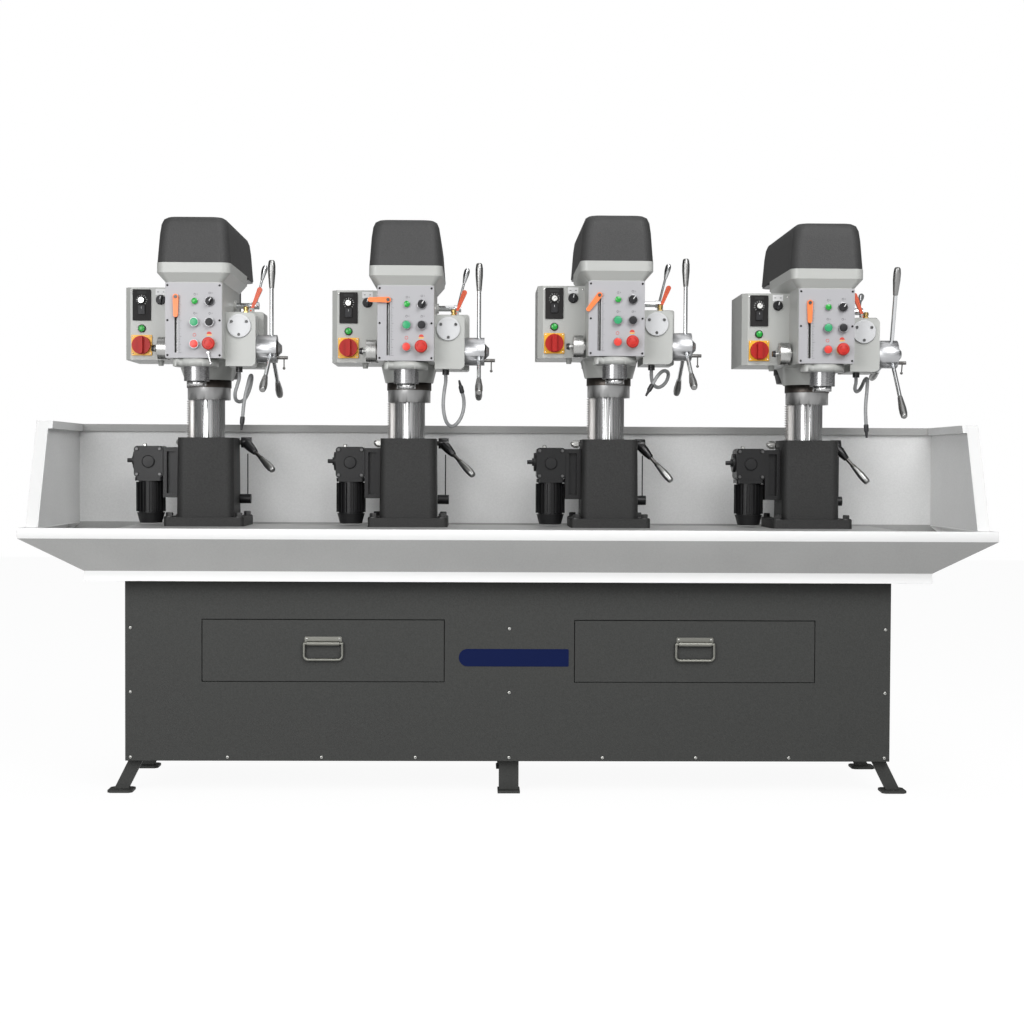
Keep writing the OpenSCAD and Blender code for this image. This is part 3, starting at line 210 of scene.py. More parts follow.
hose_grey = moulded("hose_grey_plastic", (0.30, 0.305, 0.31), 0.26)
nozzle_black = moulded("nozzle_black_plastic", (0.022, 0.022, 0.024), 0.4)
link_profile = (0.86, 0.97, 1.0, 0.97)
nozzle_profile = [(-0.002, .0064), (0.0, .0076), (.004, .0079), (.019, .0076),
                  (.022, .0066), (.024, .0052), (.038, .0036), (.042, .0034)]
for k in stations:
    at = Vector((station_x[k], column_y, head_rise[k]))
    route = smooth_route([Vector(p) + at for p in hose_routes[k]], 10)
    fine, hose_length = even_route(route, hose_link / len(link_profile))
    radii = [hose_diameter / 2 * link_profile[i % len(link_profile)] for i in range(len(fine))]
    hose = bpy.data.objects.new(f"coolant_hose_{k}", tube_mesh(f"coolant_hose_{k}", fine, radii, 16))
    hose.data.materials.append(hose_grey)
    bpy.context.scene.collection.objects.link(hose)
    aim = (fine[-1] - fine[-3]).normalized()
    nozzle = bpy.data.objects.new(f"coolant_nozzle_{k}", tube_mesh(
        f"coolant_nozzle_{k}", [fine[-1] + aim * d for d, r in nozzle_profile],
        [r for d, r in nozzle_profile], 20))
    nozzle.data.materials.append(nozzle_black)
    bpy.context.scene.collection.objects.link(nozzle)
    for piece in (hose, nozzle):
        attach(piece, f"head {k}")
    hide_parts(f"hose_{k}")


# Studio: a plain pale floor that keeps the machine's shadow, a white surround,
# and three large soft lamps above and in front, as in a catalogue picture.
floor_half, floor_level = 14.0, -0.0005
floor_corners = [(x * floor_half, y * floor_half, floor_level) for x, y in ((-1, -1), (1, -1), (1, 1), (-1, 1))]
floor_mesh = bpy.data.meshes.new("studio_floor")
floor_mesh.from_pydata(floor_corners, [], [(0, 1, 2, 3)])
floor = bpy.data.objects.new("studio_floor", floor_mesh)
bpy.context.scene.collection.objects.link(floor)
floor_white = bpy.data.materials.new("studio_floor_white")
floor_white.use_nodes = True
floor_tree = floor_white.node_tree
floor_shader = floor_tree.nodes["Principled BSDF"]
floor_shader.inputs["Base Color"].default_value = (0.26, 0.26, 0.26, 1.0)
floor_shader.inputs["Roughness"].default_value = 0.9
floor_glow = floor_tree.nodes.new("ShaderNodeEmission")
floor_glow.inputs["Color"].default_value = (1.0, 1.0, 1.0, 1.0)
floor_glow.inputs["Strength"].default_value = 1.30
floor_path = floor_tree.nodes.new("ShaderNodeLightPath")
floor_share = floor_tree.nodes.new("ShaderNodeMath")
floor_share.operation = "MULTIPLY"
floor_share.inputs[1].default_value = 0.72
floor_seen = floor_tree.nodes.new("ShaderNodeMath")
floor_seen.operation = "MAXIMUM"
floor_tree.links.new(floor_path.outputs["Is Camera Ray"], floor_seen.inputs[0])
floor_tree.links.new(floor_path.outputs["Is Glossy Ray"], floor_seen.inputs[1])
floor_tree.links.new(floor_seen.outputs[0], floor_share.inputs[0])
floor_mix = floor_tree.nodes.new("ShaderNodeMixShader")
floor_tree.links.new(floor_share.outputs[0], floor_mix.inputs[0])
floor_tree.links.new(floor_shader.outputs[0], floor_mix.inputs[1])
floor_tree.links.new(floor_glow.outputs[0], floor_mix.inputs[2])
floor_tree.links.new(floor_mix.outputs[0], floor_tree.nodes["Material Output"].inputs["Surface"])
floor_mesh.materials.append(floor_white)

surround = bpy.data.worlds.new("studio_surround")
bpy.context.scene.world = surround
surround.use_nodes = True
sky_tree = surround.node_tree
sky_light = sky_tree.nodes["Background"]
sky_light.inputs["Color"].default_value = (0.97, 0.985, 1.0, 1.0)
sky_light.inputs["Strength"].default_value = 0.40
sky_white = sky_tree.nodes.new("ShaderNodeBackground")
sky_white.inputs["Color"].default_value = (1.0, 1.0, 1.0, 1.0)
sky_white.inputs["Strength"].default_value = 1.0
sky_path = sky_tree.nodes.new("ShaderNodeLightPath")
sky_where = sky_tree.nodes.new("ShaderNodeTexCoord")
sky_split = sky_tree.nodes.new("ShaderNodeSeparateXYZ")
sky_tree.links.new(sky_where.outputs["Generated"], sky_split.inputs[0])
from_low, from_high = 1, 2
sky_turn = sky_tree.nodes.new("ShaderNodeMapRange")
sky_turn.inputs[from_low].default_value = -1.0
sky_turn.inputs[from_high].default_value = 1.0
sky_tree.links.new(sky_split.outputs["X"], sky_turn.inputs[0])
sky_cloths = sky_tree.nodes.new("ShaderNodeValToRGB")
sky_cloths.color_ramp.interpolation = "EASE"
for place, shade in ((0.18, 0.10), (0.32, 0.14), (0.42, 0.45), (0.50, 0.95), (0.66, 1.00), (0.76, 0.16)):
    stop = sky_cloths.color_ramp.elements.new(place)
    stop.color = (shade, shade, shade, 1.0)
for stop in (sky_cloths.color_ramp.elements[0], sky_cloths.color_ramp.elements[-1]):
    stop.color = (0.30, 0.30, 0.30, 1.0)
sky_tree.links.new(sky_turn.outputs[0], sky_cloths.inputs[0])
sky_behind = sky_tree.nodes.new("ShaderNodeMapRange")
sky_behind.inputs[from_low].default_value = -0.15
sky_behind.inputs[from_high].default_value = 0.20
sky_tree.links.new(sky_split.outputs["Y"], sky_behind.inputs[0])
front_colour, back_colour, mixed_colour = 6, 7, 2
sky_room = sky_tree.nodes.new("ShaderNodeMix")
sky_room.data_type = "RGBA"
sky_room.inputs[back_colour].default_value = (0.22, 0.22, 0.22, 1.0)
sky_tree.links.new(sky_behind.outputs[0], sky_room.inputs[0])
sky_tree.links.new(sky_cloths.outputs["Color"], sky_room.inputs[front_colour])
sky_mirrored = sky_tree.nodes.new("ShaderNodeBackground")
sky_tree.links.new(sky_room.outputs[mixed_colour], sky_mirrored.inputs["Color"])
sky_glossy = sky_tree.nodes.new("ShaderNodeMixShader")
sky_tree.links.new(sky_path.outputs["Is Glossy Ray"], sky_glossy.inputs[0])
sky_tree.links.new(sky_light.outputs[0], sky_glossy.inputs[1])
sky_tree.links.new(sky_mirrored.outputs[0], sky_glossy.inputs[2])
sky_mix = sky_tree.nodes.new("ShaderNodeMixShader")
sky_tree.links.new(sky_path.outputs["Is Camera Ray"], sky_mix.inputs[0])
sky_tree.links.new(sky_glossy.outputs[0], sky_mix.inputs[1])
sky_tree.links.new(sky_white.outputs[0], sky_mix.inputs[2])
sky_tree.links.new(sky_mix.outputs[0], sky_tree.nodes["World Output"].inputs["Surface"])

for lamp_name, lamp_place, lamp_aim, lamp_size, lamp_watts in (
        ("key_lamp", (1.8, -4.4, 4.4), (-0.2, 0, 0.9), 3.2, 205.0),
        ("fill_lamp", (-2.6, -5.0, 2.2), (0, 0, 0.8), 3.0, 155.0),
        ("top_lamp", (0.0, 0.6, 5.4), (0, 0, 0.8), 3.6, 45.0)):
    lamp_data = bpy.data.lights.new(lamp_name, "AREA")
    lamp_data.size = lamp_size
    lamp_data.energy = lamp_watts
    lamp = bpy.data.objects.new(lamp_name, lamp_data)
    lamp.location = lamp_place
    lamp.rotation_euler = (Vector(lamp_aim) - Vector(lamp_place)).to_track_quat("-Z", "Y").to_euler()
    bpy.context.scene.collection.objects.link(lamp)
bpy.context.scene.view_settings.view_transform = "Standard"


# Stand: welded square tube under folded sheet panels, on splayed strap feet with pads.
# All of it is stove-enamelled in charcoal with a fine textured skin; panels are screwed on.
crease_angle = 30.0


def soften(piece, bevel, angle=crease_angle):
    """Rounds the edges of a piece by a small bevel and evens the shading."""
    weld = piece.modifiers.new("join_edges", "WELD")
    weld.merge_threshold = 0.00002
    if bevel:
        edge = piece.modifiers.new("round_edges", "BEVEL")
        edge.width = bevel
        edge.segments = 2
        edge.limit_method = "ANGLE"
        edge.angle_limit = math.radians(angle)
        edge.harden_normals = False
        edge.use_clamp_overlap = True
    shade = piece.modifiers.new("even_shading", "WEIGHTED_NORMAL")
    shade.keep_sharp = True
    piece.data.shade_smooth()
    if not bevel:
        piece.data.set_sharp_from_angle(angle=math.radians(angle))


def dress(node, material, bevel=0.0, angle=crease_angle):
    """Gives a solid from the frame its finish and softens its edges."""
    solid = nodes[node]
    solid.data.materials.clear()
    solid.data.materials.append(material)
    soften(solid, bevel, angle)


def paint_by_place(node, finishes, choose):
    """Gives each face of a solid the finish chosen for where it lies."""
    solid = nodes[node]
    solid.data.materials.clear()
    for finish in finishes:
        solid.data.materials.append(finish)
    for face in solid.data.polygons:
        face.material_index = finishes.index(choose(face.center, face.normal))


charcoal = moulded("charcoal_textured_enamel", (0.038, 0.039, 0.037), 0.66, 0.0040, 0.0006, 0.50, 0.75, 0.35)
dress("cabinet", charcoal, 0.0012)


# Panel screws: zinc pan heads with a cross recess, along the bottom, ends and middle of the
# front sheet, driven into the frame tubes.
def add_turned(bm, profile, place, steps=24, slot=0):
    """Adds a turned form: (radius, height) pairs from the foot up, about the place's own Z."""
    rings = []
    for r, h in profile:
        if r < 1e-7:
            rings.append([bm.verts.new(place @ Vector((0, 0, h)))])
        else:
            rings.append([bm.verts.new(place @ Vector((r * math.cos(2 * math.pi * i / steps),
                                                       r * math.sin(2 * math.pi * i / steps), h)))
                          for i in range(steps)])
    made = []
    for lower, upper in zip(rings, rings[1:]):
        for i in range(steps):
            j = (i + 1) % steps
            if len(lower) == 1:
                made.append(bm.faces.new((lower[0], upper[j], upper[i])))
            elif len(upper) == 1:
                made.append(bm.faces.new((lower[i], lower[j], upper[0])))
            else:
                made.append(bm.faces.new((lower[i], lower[j], upper[j], upper[i])))
    if len(rings[0]) > 1 and profile[0] != profile[-1]:
        made.append(bm.faces.new(list(reversed(rings[0]))))
    if len(rings[-1]) > 1 and profile[0] != profile[-1]:
        made.append(bm.faces.new(rings[-1]))
    for face in made:
        face.material_index = slot


def add_prism(bm, outline, low, high, place, slot=0):
    """Adds a flat outline pushed up from low to high along the place's own Z."""
    bottom = [bm.verts.new(place @ Vector((x, y, low))) for x, y in outline]
    top = [bm.verts.new(place @ Vector((x, y, high))) for x, y in outline]
    made = [bm.faces.new(list(reversed(bottom))), bm.faces.new(top)]
    n = len(outline)
    for i in range(n):
        j = (i + 1) % n
        made.append(bm.faces.new((bottom[i], bottom[j], top[j], top[i])))
    for face in made:
        face.material_index = slot


def rounded_outline(w, h, r, steps=6):
    """Outline of a rectangle with round corners, about its middle."""
    pts = []
    right, top = w / 2 - r, h / 2 - r
    for cx, cy, a0 in ((right, top, 0), (-right, top, 90), (-right, -top, 180), (right, -top, 270)):
        for i in range(steps + 1):
            a = math.radians(a0 + 90 * i / steps)
            pts.append((cx + r * math.cos(a), cy + r * math.sin(a)))
    return pts


def facing_front(x, y, z, turn=0.0):
    """Place whose own Z looks out of a front face, towards the operator."""
    return (Matrix.Translation((x, y, z)) @ Matrix(((1, 0, 0), (0, 0, -1), (0, 1, 0))).to_4x4()
            @ Matrix.Rotation(math.radians(turn), 4, "Z"))


def finish_mesh(bm, name, finishes):
    """Closes a new mesh and gives it its finishes."""
    bmesh.ops.recalc_face_normals(bm, faces=bm.faces)
    mesh = bpy.data.meshes.new(name)
    bm.to_mesh(mesh)
    bm.free()
    for finish in finishes:
        mesh.materials.append(finish)
    mesh.shade_smooth()
    return mesh


def put(name, mesh, body, at=(0, 0, 0), bevel=0.0):
    """Puts a made piece in place, on the body that carries it."""
    piece = bpy.data.objects.new(name, mesh)
    piece.location = at
    bpy.context.scene.collection.objects.link(piece)
    if bevel:
        soften(piece, bevel)
    else:
        mesh.set_sharp_from_angle(angle=math.radians(crease_angle))
    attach(piece, body)


def add_cross_screw(bm, place, r, slot=0, dark=1):
    """Adds a pan-head screw with its cross recess, drawn as a flat cross in the dark slot: painted shade for the
    hollow.
    """
    pan = [(r, 0.0), (r, 0.25 * r), (0.86 * r, 0.55 * r), (0.5 * r, 0.72 * r), (0, 0.76 * r)]
    add_turned(bm, pan, place, 16, slot)
    for turn in (20, 110):
        bar = place @ Matrix.Rotation(math.radians(turn), 4, "Z")
        add_prism(bm, rounded_outline(1.1 * r, 0.2 * r, 0.08 * r, 2), 0.60 * r, 0.79 * r, bar, dark)


def metal(name, colour, rough, stretch, depth=0.00003, drift=0.10):
    """Bare or plated metal: fine drawn lines in its gloss and a faint change of tone."""
    material = bpy.data.materials.new(name)
    material.use_nodes = True
    tree = material.node_tree
    tree.nodes["Principled BSDF"].inputs["Metallic"].default_value = 1.0
    where = tree.nodes.new("ShaderNodeTexCoord").outputs["Object"]
    lay = tree.nodes.new("ShaderNodeMapping")
    lay.inputs["Scale"].default_value = stretch
    tree.links.new(where, lay.inputs["Vector"])
    lines = add_noise(tree, lay.outputs["Vector"], 24.0, 6.0)
    drift_gloss(tree, max(0.03, rough * 0.65), rough * 1.35, lines)
    drift_tone(tree, colour, drift, lines)
    raise_skin(tree, 0.35, depth, lines)
    return material


zinc = metal("zinc_plate", (0.46, 0.46, 0.44), 0.38, (40, 40, 40))
# Painted shade: near black for the hollows of cross recesses and of the speed panel's recess, drawn as flat shapes.
recess_painted_shade = moulded("recess_painted_shade", (0.012, 0.012, 0.012), 0.7)
cabinet_front, screw_radius = -0.270, 0.0052
screw_places = [(x, 0.116) for x in (-1.209, -0.90, -0.60, -0.30, 0.0, 0.30, 0.60, 0.90, 1.209)]
screw_places += [(x, z) for x in (-1.209, 0.0, 1.209) for z in (0.325, 0.530)]
bm = bmesh.new()
for x, z in screw_places:
    add_cross_screw(bm, facing_front(x, cabinet_front, z), screw_radius)
put("panel_screws", finish_mesh(bm, "panel_screws", [zinc, recess_painted_shade]), "stand")


# Name plate: a bare plate of navy enamelled aluminium, round at its left end and square at
# its right, stuck to the cabinet front between the drawers. Nothing is written on it.
plate_length, plate_height, plate_x, plate_z = 0.352, 0.056, 0.014, 0.437
plate_thickness, plate_corner = 0.0014, 0.002
navy = moulded("navy_enamel", (0.0012, 0.007, 0.052), 0.45, 0.0009, 0.00003, 0.12, 0.2, 0.12)
half, up = plate_length / 2, plate_height / 2
plate_outline = [(half - plate_corner, -up), (half, plate_corner - up),
                 (half, up - plate_corner), (half - plate_corner, up)]
plate_outline += [(up - half + up * math.cos(math.radians(a)), up * math.sin(math.radians(a)))
                  for a in range(90, 271, 9)]
bm = bmesh.new()
add_prism(bm, plate_outline, 0.0, plate_thickness, facing_front(plate_x, cabinet_front, plate_z))
put("bare_plate", finish_mesh(bm, "bare_plate", [navy]), "stand", bevel=0.0003)


# Drawers: folded sheet boxes with a pan front, enamelled like the stand, running on the
# stand's rails. Each has a bail pull of bent rod in a zinc plate and barrel.
drawer_x = {"left": -0.595, "right": 0.595}
drawer_skin, pull_front, pull_screw_z = -0.2702, -0.273, 0.496
dark_zinc = metal("weathered_zinc", (0.20, 0.20, 0.18), 0.42, (30, 30, 30))
for side, x in drawer_x.items():
    dress(f"drawer_{side}", charcoal, 0.0010)
    paint_by_place(f"drawer_{side}", [charcoal, dark_zinc],
                   lambda c, n: dark_zinc if c.y < drawer_skin else charcoal)
    dress(f"bail_{side}", dark_zinc)
    bm = bmesh.new()
    for sx in (-0.052, 0.052):
        add_cross_screw(bm, facing_front(x + sx, pull_front, pull_screw_z), 0.0034)
    put(f"pull_screws_{side}", finish_mesh(bm, f"pull_screws_{side}", [zinc, recess_painted_shade]),
        f"{side} drawer")


# Chip tray: folded and welded sheet, light grey inside, with a darker grey rim and a white lip,
# base strip and wall flanges. The apron under the lip has the inside's paint but is painted darker:
# that is painted shade for its downward face. The bed inside it is a planed plate that carries the pedestals.
tray_grey = moulded("tray_grey_enamel", (0.72, 0.722, 0.718), 0.5, 0.0050, 0.00015, 0.16, 0.6)
bed_grey = moulded("bed_grey_plate", (0.36, 0.36, 0.355), 0.45, 0.0016, 0.00006, 0.08)
# Painted shade: the apron's paint is the light grey of the inside, darkened here because the apron faces down. The
# rim is given the same darker grey.
apron_shade_rim_grey = moulded("apron_painted_shade_rim_grey_enamel", (0.360, 0.360, 0.354), 0.5, 0.0050, 0.00010, 0.16, 0.5)
lip_white = moulded("lip_white_enamel", (0.90, 0.90, 0.895), 0.38, 0.0016, 0.00005, 0.02)
flange_white = moulded("flange_white_enamel", (0.70, 0.70, 0.695), 0.45, 0.0016, 0.00005, 0.02)
tray_finishes = [tray_grey, lip_white, apron_shade_rim_grey, bed_grey, flange_white]
strip_top, lip_low, lip_top, wall_foot, rim_low = 0.7149, 0.8175, 0.8503, 0.85, 1.1645
lip_front, lip_end, flange_side = -0.359, 1.4925, 1.4972
rim_front, rim_back = 0.27, 0.2895
bed_low, bed_top, bed_end, bed_front = 0.80, 0.858, 1.36, -0.30


def tray_finish(c, n):
    """Finish of a face of the tray by its middle and its normal."""
    on_flange = c.z > wall_foot and abs(c.x) > flange_side
    on_lip = lip_low < c.z < lip_top and (c.y < lip_front or abs(c.x) > lip_end)
    on_strip = c.z < strip_top
    on_rim = c.z > rim_low and c.y > rim_front and not (c.y > rim_back and n.y > 0.5)
    on_apron = c.z < lip_low and n.z < 0.2
    on_bed = bed_low < c.z < bed_top and abs(c.x) < bed_end and c.y > bed_front
    if on_flange:
        return flange_white
    if on_lip or on_strip:
        return lip_white
    # The apron's darker grey is painted shade; the rim takes the same grey.
    if on_rim or on_apron:
        return apron_shade_rim_grey
    return bed_grey if on_bed else tray_grey


paint_by_place("chip_tray", tray_finishes, tray_finish)
soften(nodes["chip_tray"], 0.0016)


# Pedestals: cast iron, charcoal enamel over a rough sand-cast skin, held to the bed by four
# hexagon bolts through the base flange and split at the back to clamp the column.
cast_charcoal = moulded("charcoal_cast_enamel", (0.021, 0.021, 0.0207), 0.6, 0.0050, 0.0016, 0.70, 0.75, 0.35)
bolt_steel = metal("blackened_bolt", (0.10, 0.10, 0.10), 0.4, (30, 30, 30))
bright_zinc = metal("bright_zinc", (0.62, 0.62, 0.60), 0.28, (30, 30, 30))
nut_face, nut_low = 0.0951, 1.08


def pedestal_finish(c, n):
    """Bright zinc on the clamp nuts at the pedestals' sides, enamel elsewhere."""
    from_middle = abs(abs(c.x) % station_pitch - station_pitch / 2)
    return bright_zinc if from_middle > nut_face and c.z > nut_low else cast_charcoal


dress("pedestals", cast_charcoal, 0.0025, 25.0)
paint_by_place("pedestals", [cast_charcoal, bright_zinc], pedestal_finish)
flange_top, bolt_reach = 0.878, 0.113
bm = bmesh.new()
for sx in (-bolt_reach, bolt_reach):
    for sy in (-bolt_reach, bolt_reach):
        head = Matrix.Translation((sx, sy, flange_top))
        add_turned(bm, [(0.017, 0.0), (0.017, 0.0022), (0.0155, 0.003)], head, 28)
        add_turned(bm, [(0.0125, 0.003), (0.0125, 0.013), (0.0108, 0.0152)],
                   head @ Matrix.Rotation(0.35, 4, "Z"), 6)
        add_turned(bm, [(0.0100, 0.0152), (0.0100, 0.0156)], head, 20)
bolt_mesh = finish_mesh(bm, "flange_bolts", [bolt_steel])
for k in stations:
    put(f"flange_bolts_{k}", bolt_mesh, "stand", (station_x[k], column_y, 0))


# Lift drives: black worm gearboxes with finned motors below them, bolted to the left side
# of the pedestals, and round limit switches on the right side.
drive_black = moulded("drive_black_enamel", (0.0085, 0.0085, 0.009), 0.36, 0.004, 0.0005, 0.5, 0.6, 0.3)
dress("lift_drives", drive_black, 0.0008)
gear_x, gear_front, gear_z, gear_top = -0.1940, -0.050, 1.060, 1.112
steel_bolt, black_cover, zinc_plug = 0, 1, 2
bm = bmesh.new()
for sx in (-0.038, 0.038):
    for sz in (-0.042, 0.042):
        add_turned(bm, [(0.0062, 0.0), (0.0062, 0.005), (0.0052, 0.006)],
                   facing_front(gear_x + sx, gear_front, gear_z + sz), 6, steel_bolt)
add_turned(bm, [(0.021, 0.0), (0.021, 0.004), (0.018, 0.006), (0.006, 0.0065), (0, 0.0065)],
           facing_front(gear_x, gear_front, gear_z), 32, black_cover)
add_turned(bm, [(0.007, 0.0), (0.007, 0.006), (0.0045, 0.009), (0, 0.009)],
           Matrix.Translation((gear_x - 0.02, 0.0, gear_top)), 6, zinc_plug)
drive_mesh = finish_mesh(bm, "lift_drive_bolts", [bolt_steel, drive_black, bright_zinc])
for k in stations:
    put(f"lift_drive_bolts_{k}", drive_mesh, "stand", (station_x[k], column_y, 0))


# Columns: ground and polished steel tube with a cut rack down the left side, a light clamp
# collar and a seat ring under the head, painted near black as painted shade from the head. The column goes up and
# down with its head.
polished = metal("polished_steel", (0.50, 0.505, 0.51), 0.20, (2, 2, 90), 0.00001, 0.06)
rack_steel = metal("cut_rack_steel", (0.80, 0.78, 0.76), 0.55, (40, 40, 40))
collar_satin = metal("satin_collar_steel", (0.34, 0.34, 0.34), 0.36, (3, 3, 80))
# Painted shade: the seat ring under the head is painted near black, standing in for the head's shadow on it.
seat_ring_shade = metal("seat_ring_painted_shade", (0.075, 0.066, 0.060), 0.4, (3, 3, 60))
collar_foot, ring_foot = 1.2659, 1.3059
rack_side, rack_half = -0.0530, 0.0145
for k in stations:
    def column_finish(c, n, k=k):
        z = c.z - head_rise[k]
        if z > collar_foot:
            # Above the collar: painted shade on the seat ring.
            return seat_ring_shade if z > ring_foot else collar_satin
        on_rack = c.x - station_x[k] < rack_side and abs(c.y - column_y) < rack_half
        return rack_steel if on_rack else polished
    paint_by_place(f"column_{k}", [polished, rack_steel, seat_ring_shade, collar_satin], column_finish)
    soften(nodes[f"column_{k}"], 0.0)


# Head castings: thin-walled cast iron, filled, rubbed down and sprayed light grey. Each has a
# flared top for the motor cover, the feed gearbox on its right and a spring hub on its left.
head_grey = moulded("head_grey_enamel", (0.445, 0.452, 0.434), 0.36, 0.0030, 0.00012, 0.05, 0.5)
hub_steel = metal("turned_hub_steel", (0.44, 0.44, 0.43), 0.28, (70, 3, 3))
knob_black = moulded("knob_black_plastic", (0.015, 0.015, 0.016), 0.28)
hub_foot, hub_top, knob_foot = -0.0911, 1.48, -0.1425
gland_left, gland_top = 0.1, 1.3659
for k in stations:
    def casting_finish(c, n, k=k):
        x, z = c.x - station_x[k], c.z - head_rise[k]
        if x < hub_foot and z < hub_top:
            return knob_black if x < knob_foot else hub_steel
        return knob_black if z < gland_top and x > gland_left else head_grey
    paint_by_place(f"head_casting_{k}", [head_grey, hub_steel, knob_black], casting_finish)
    soften(nodes[f"head_casting_{k}"], 0.0030, 28.0)


# Feed box fittings: a turned aluminium cover held by three screws on the front of the feed
# gearbox, and a brass oil cup screwed into its top.
disc_aluminium = moulded("satin_cover_aluminium", (0.60, 0.605, 0.615), 0.34, 0.0008, 0.00003, 0.03)
oil_brass = metal("oil_cup_brass", (0.60, 0.42, 0.16), 0.26, (30, 30, 30))
disc_x, disc_z, disc_y = 0.134, 1.494, -0.265
disc_screw_circle = 0.0275
plain_cover, brass_cup, steel_screw = 0, 1, 2
bm = bmesh.new()
add_turned(bm, [(0.0376, -0.0058), (0.0376, 0.0004), (0.0366, 0.0014), (0.031, 0.0016), (0.0305, 0.0012),
                (0.012, 0.0012), (0, 0.0012)], facing_front(disc_x, disc_y, disc_z), 64, plain_cover)
socket_screw = [(0.0046, 0.0010), (0.0046, 0.0040), (0.0040, 0.0046), (0.0026, 0.0046), (0.0026, 0.0022),
                (0, 0.0022)]
for a in (30, 150, 270):
    hole = facing_front(disc_x + disc_screw_circle * math.cos(math.radians(a)), disc_y,
                        disc_z + disc_screw_circle * math.sin(math.radians(a)))
    add_turned(bm, socket_screw, hole, 20, steel_screw)
cup = Matrix.Translation((0.150, -0.214, 1.537))
add_turned(bm, [(0.0095, -0.001), (0.0095, 0.007)], cup, 6, brass_cup)
add_turned(bm, [(0.0070, 0.007), (0.0070, 0.012), (0.0088, 0.0125), (0.0088, 0.020), (0.0070, 0.023), (0, 0.024)],
           cup, 24, brass_cup)
fitting_mesh = finish_mesh(bm, "feed_box_fittings", [disc_aluminium, oil_brass, bolt_steel])
for k in stations:
    put(f"feed_box_fittings_{k}", fitting_mesh, f"head {k}", (station_x[k], column_y, head_rise[k]))


# Motor covers: vacuum-formed charcoal shells with a leather grain, dropped over the flared
# top of the head, with the black main motor hanging behind under a steel plate.
cover_charcoal = moulded("leather_grain_charcoal", (0.035, 0.035, 0.035), 0.62, 0.0042, 0.0014, 0.55, 0.75)
cover_foot = 1.6801
for k in stations:
    def cover_finish(c, n, k=k):
        return drive_black if c.z - head_rise[k] < cover_foot else cover_charcoal
    paint_by_place(f"motor_cover_{k}", [cover_charcoal, drive_black], cover_finish)
    soften(nodes[f"motor_cover_{k}"], 0.0015, 40.0)


# Control panels and electrical boxes: powder-coated sheet in light grey. Push buttons, lamps
# and selectors are standard 22 mm ones; the main switch is red on yellow.
panel_grey = moulded("panel_grey_powder", (0.400, 0.397, 0.413), 0.42, 0.0012, 0.00008, 0.02)
button_green = moulded("button_green", (0.020, 0.33, 0.13), 0.3)
button_black = moulded("button_black", (0.018, 0.018, 0.020), 0.42, mirror=0.25)
button_red = moulded("button_red", (0.72, 0.045, 0.030), 0.3)
switch_yellow = moulded("switch_yellow", (0.86, 0.44, 0.020), 0.36)
switch_red = moulded("switch_red", (0.40, 0.012, 0.009), 0.4, mirror=0.25)
lamp_green = moulded("lamp_green_lens", (0.008, 0.34, 0.035), 0.16)
knob_silver = metal("knob_silver", (0.72, 0.72, 0.70), 0.25, (50, 50, 50))
panel_middle = 1.5055
box_left, box_front, box_top = -0.245, -0.175, 1.623
bezel = metal("bezel_chrome", (0.32, 0.32, 0.33), 0.30, (30, 30, 30))
finishes = [panel_grey, bezel, button_black, switch_yellow, switch_red, lamp_green, knob_silver, head_grey]
panel_skin, top_row, low_row, left_column = -0.3303, 0.04, -0.04, 0.03
box_right, box_seam, switch_row, lamp_row = -0.091, -0.0905, 0.15, 0.115


def control_finish(c, k):
    """Finish of a face of the front panel, the electrical box or one of their controls."""
    x, y, z = c.x - station_x[k], c.y - column_y, c.z - head_rise[k]
    if y < panel_skin:
        rise = z - panel_middle
        if rise > top_row:
            return lamp_green if x < left_column else button_black
        if rise > low_row:
            return bezel
        return bezel if -0.02 < x < left_column else switch_yellow
    if x < box_right and y < box_front - 0.00001:
        down = box_top - z
        if down > switch_row:
            return switch_yellow if y > box_front - 0.0061 else switch_red
        if down > lamp_row:
            return lamp_green
        on_dial = x <= box_left + 0.09 and 0.028 < down < 0.055 and y < box_front - 0.0045
        return knob_silver if on_dial else button_black
    return head_grey if x < box_seam else panel_grey


for k in stations:
    paint_by_place(f"control_box_{k}", finishes, lambda c, n, k=k: control_finish(c, k))
    soften(nodes[f"control_box_{k}"], 0.0010)


# Panel fittings: chromed bezels round the buttons and lamps, moulded caps and lenses, the dark
# screws that hold the panel, printed symbols and the printed depth scale beside the slot.
# Dark finish for print, dark parts and dark screws, and painted shade in the cross recesses of the silver box
# screws.
dark_print_and_recess_shade = moulded("dark_print_and_painted_recess_shade", (0.016, 0.015, 0.015), 0.6, mirror=0.2)
mark_white = moulded("printed_mark_white", (0.80, 0.80, 0.80), 0.5)
mark_red = moulded("printed_mark_red", (0.60, 0.05, 0.03), 0.5)
panel_front = -0.330
in_bezel, in_green, in_black, in_red, in_lens, in_white, in_yellow = range(7)
selector_mark = rounded_outline(0.0022, 0.0110, 0.0008, 3)
to_mark = Matrix.Translation((0, 0.0060, 0))
bm = bmesh.new()
for x, rise, colour in ((0.003, -0.006, in_green), (0.051, -0.006, in_black), (0.003, -0.075, in_red)):
    place = facing_front(x, panel_front, panel_middle + rise)
    add_turned(bm, [(0.0129, 0.0129), (0.0147, 0.0129), (0.0147, 0.0136), (0.0141, 0.0142), (0.0129, 0.0142),
                    (0.0129, 0.0129)], place, 40, in_bezel)
    add_turned(bm, [(0.0127, 0.0129), (0.0127, 0.0154), (0.0117, 0.0166), (0.0094, 0.0172), (0.0, 0.0170)],
               place, 40, colour)
lamp_place = facing_front(0.004, panel_front, panel_middle + 0.060)
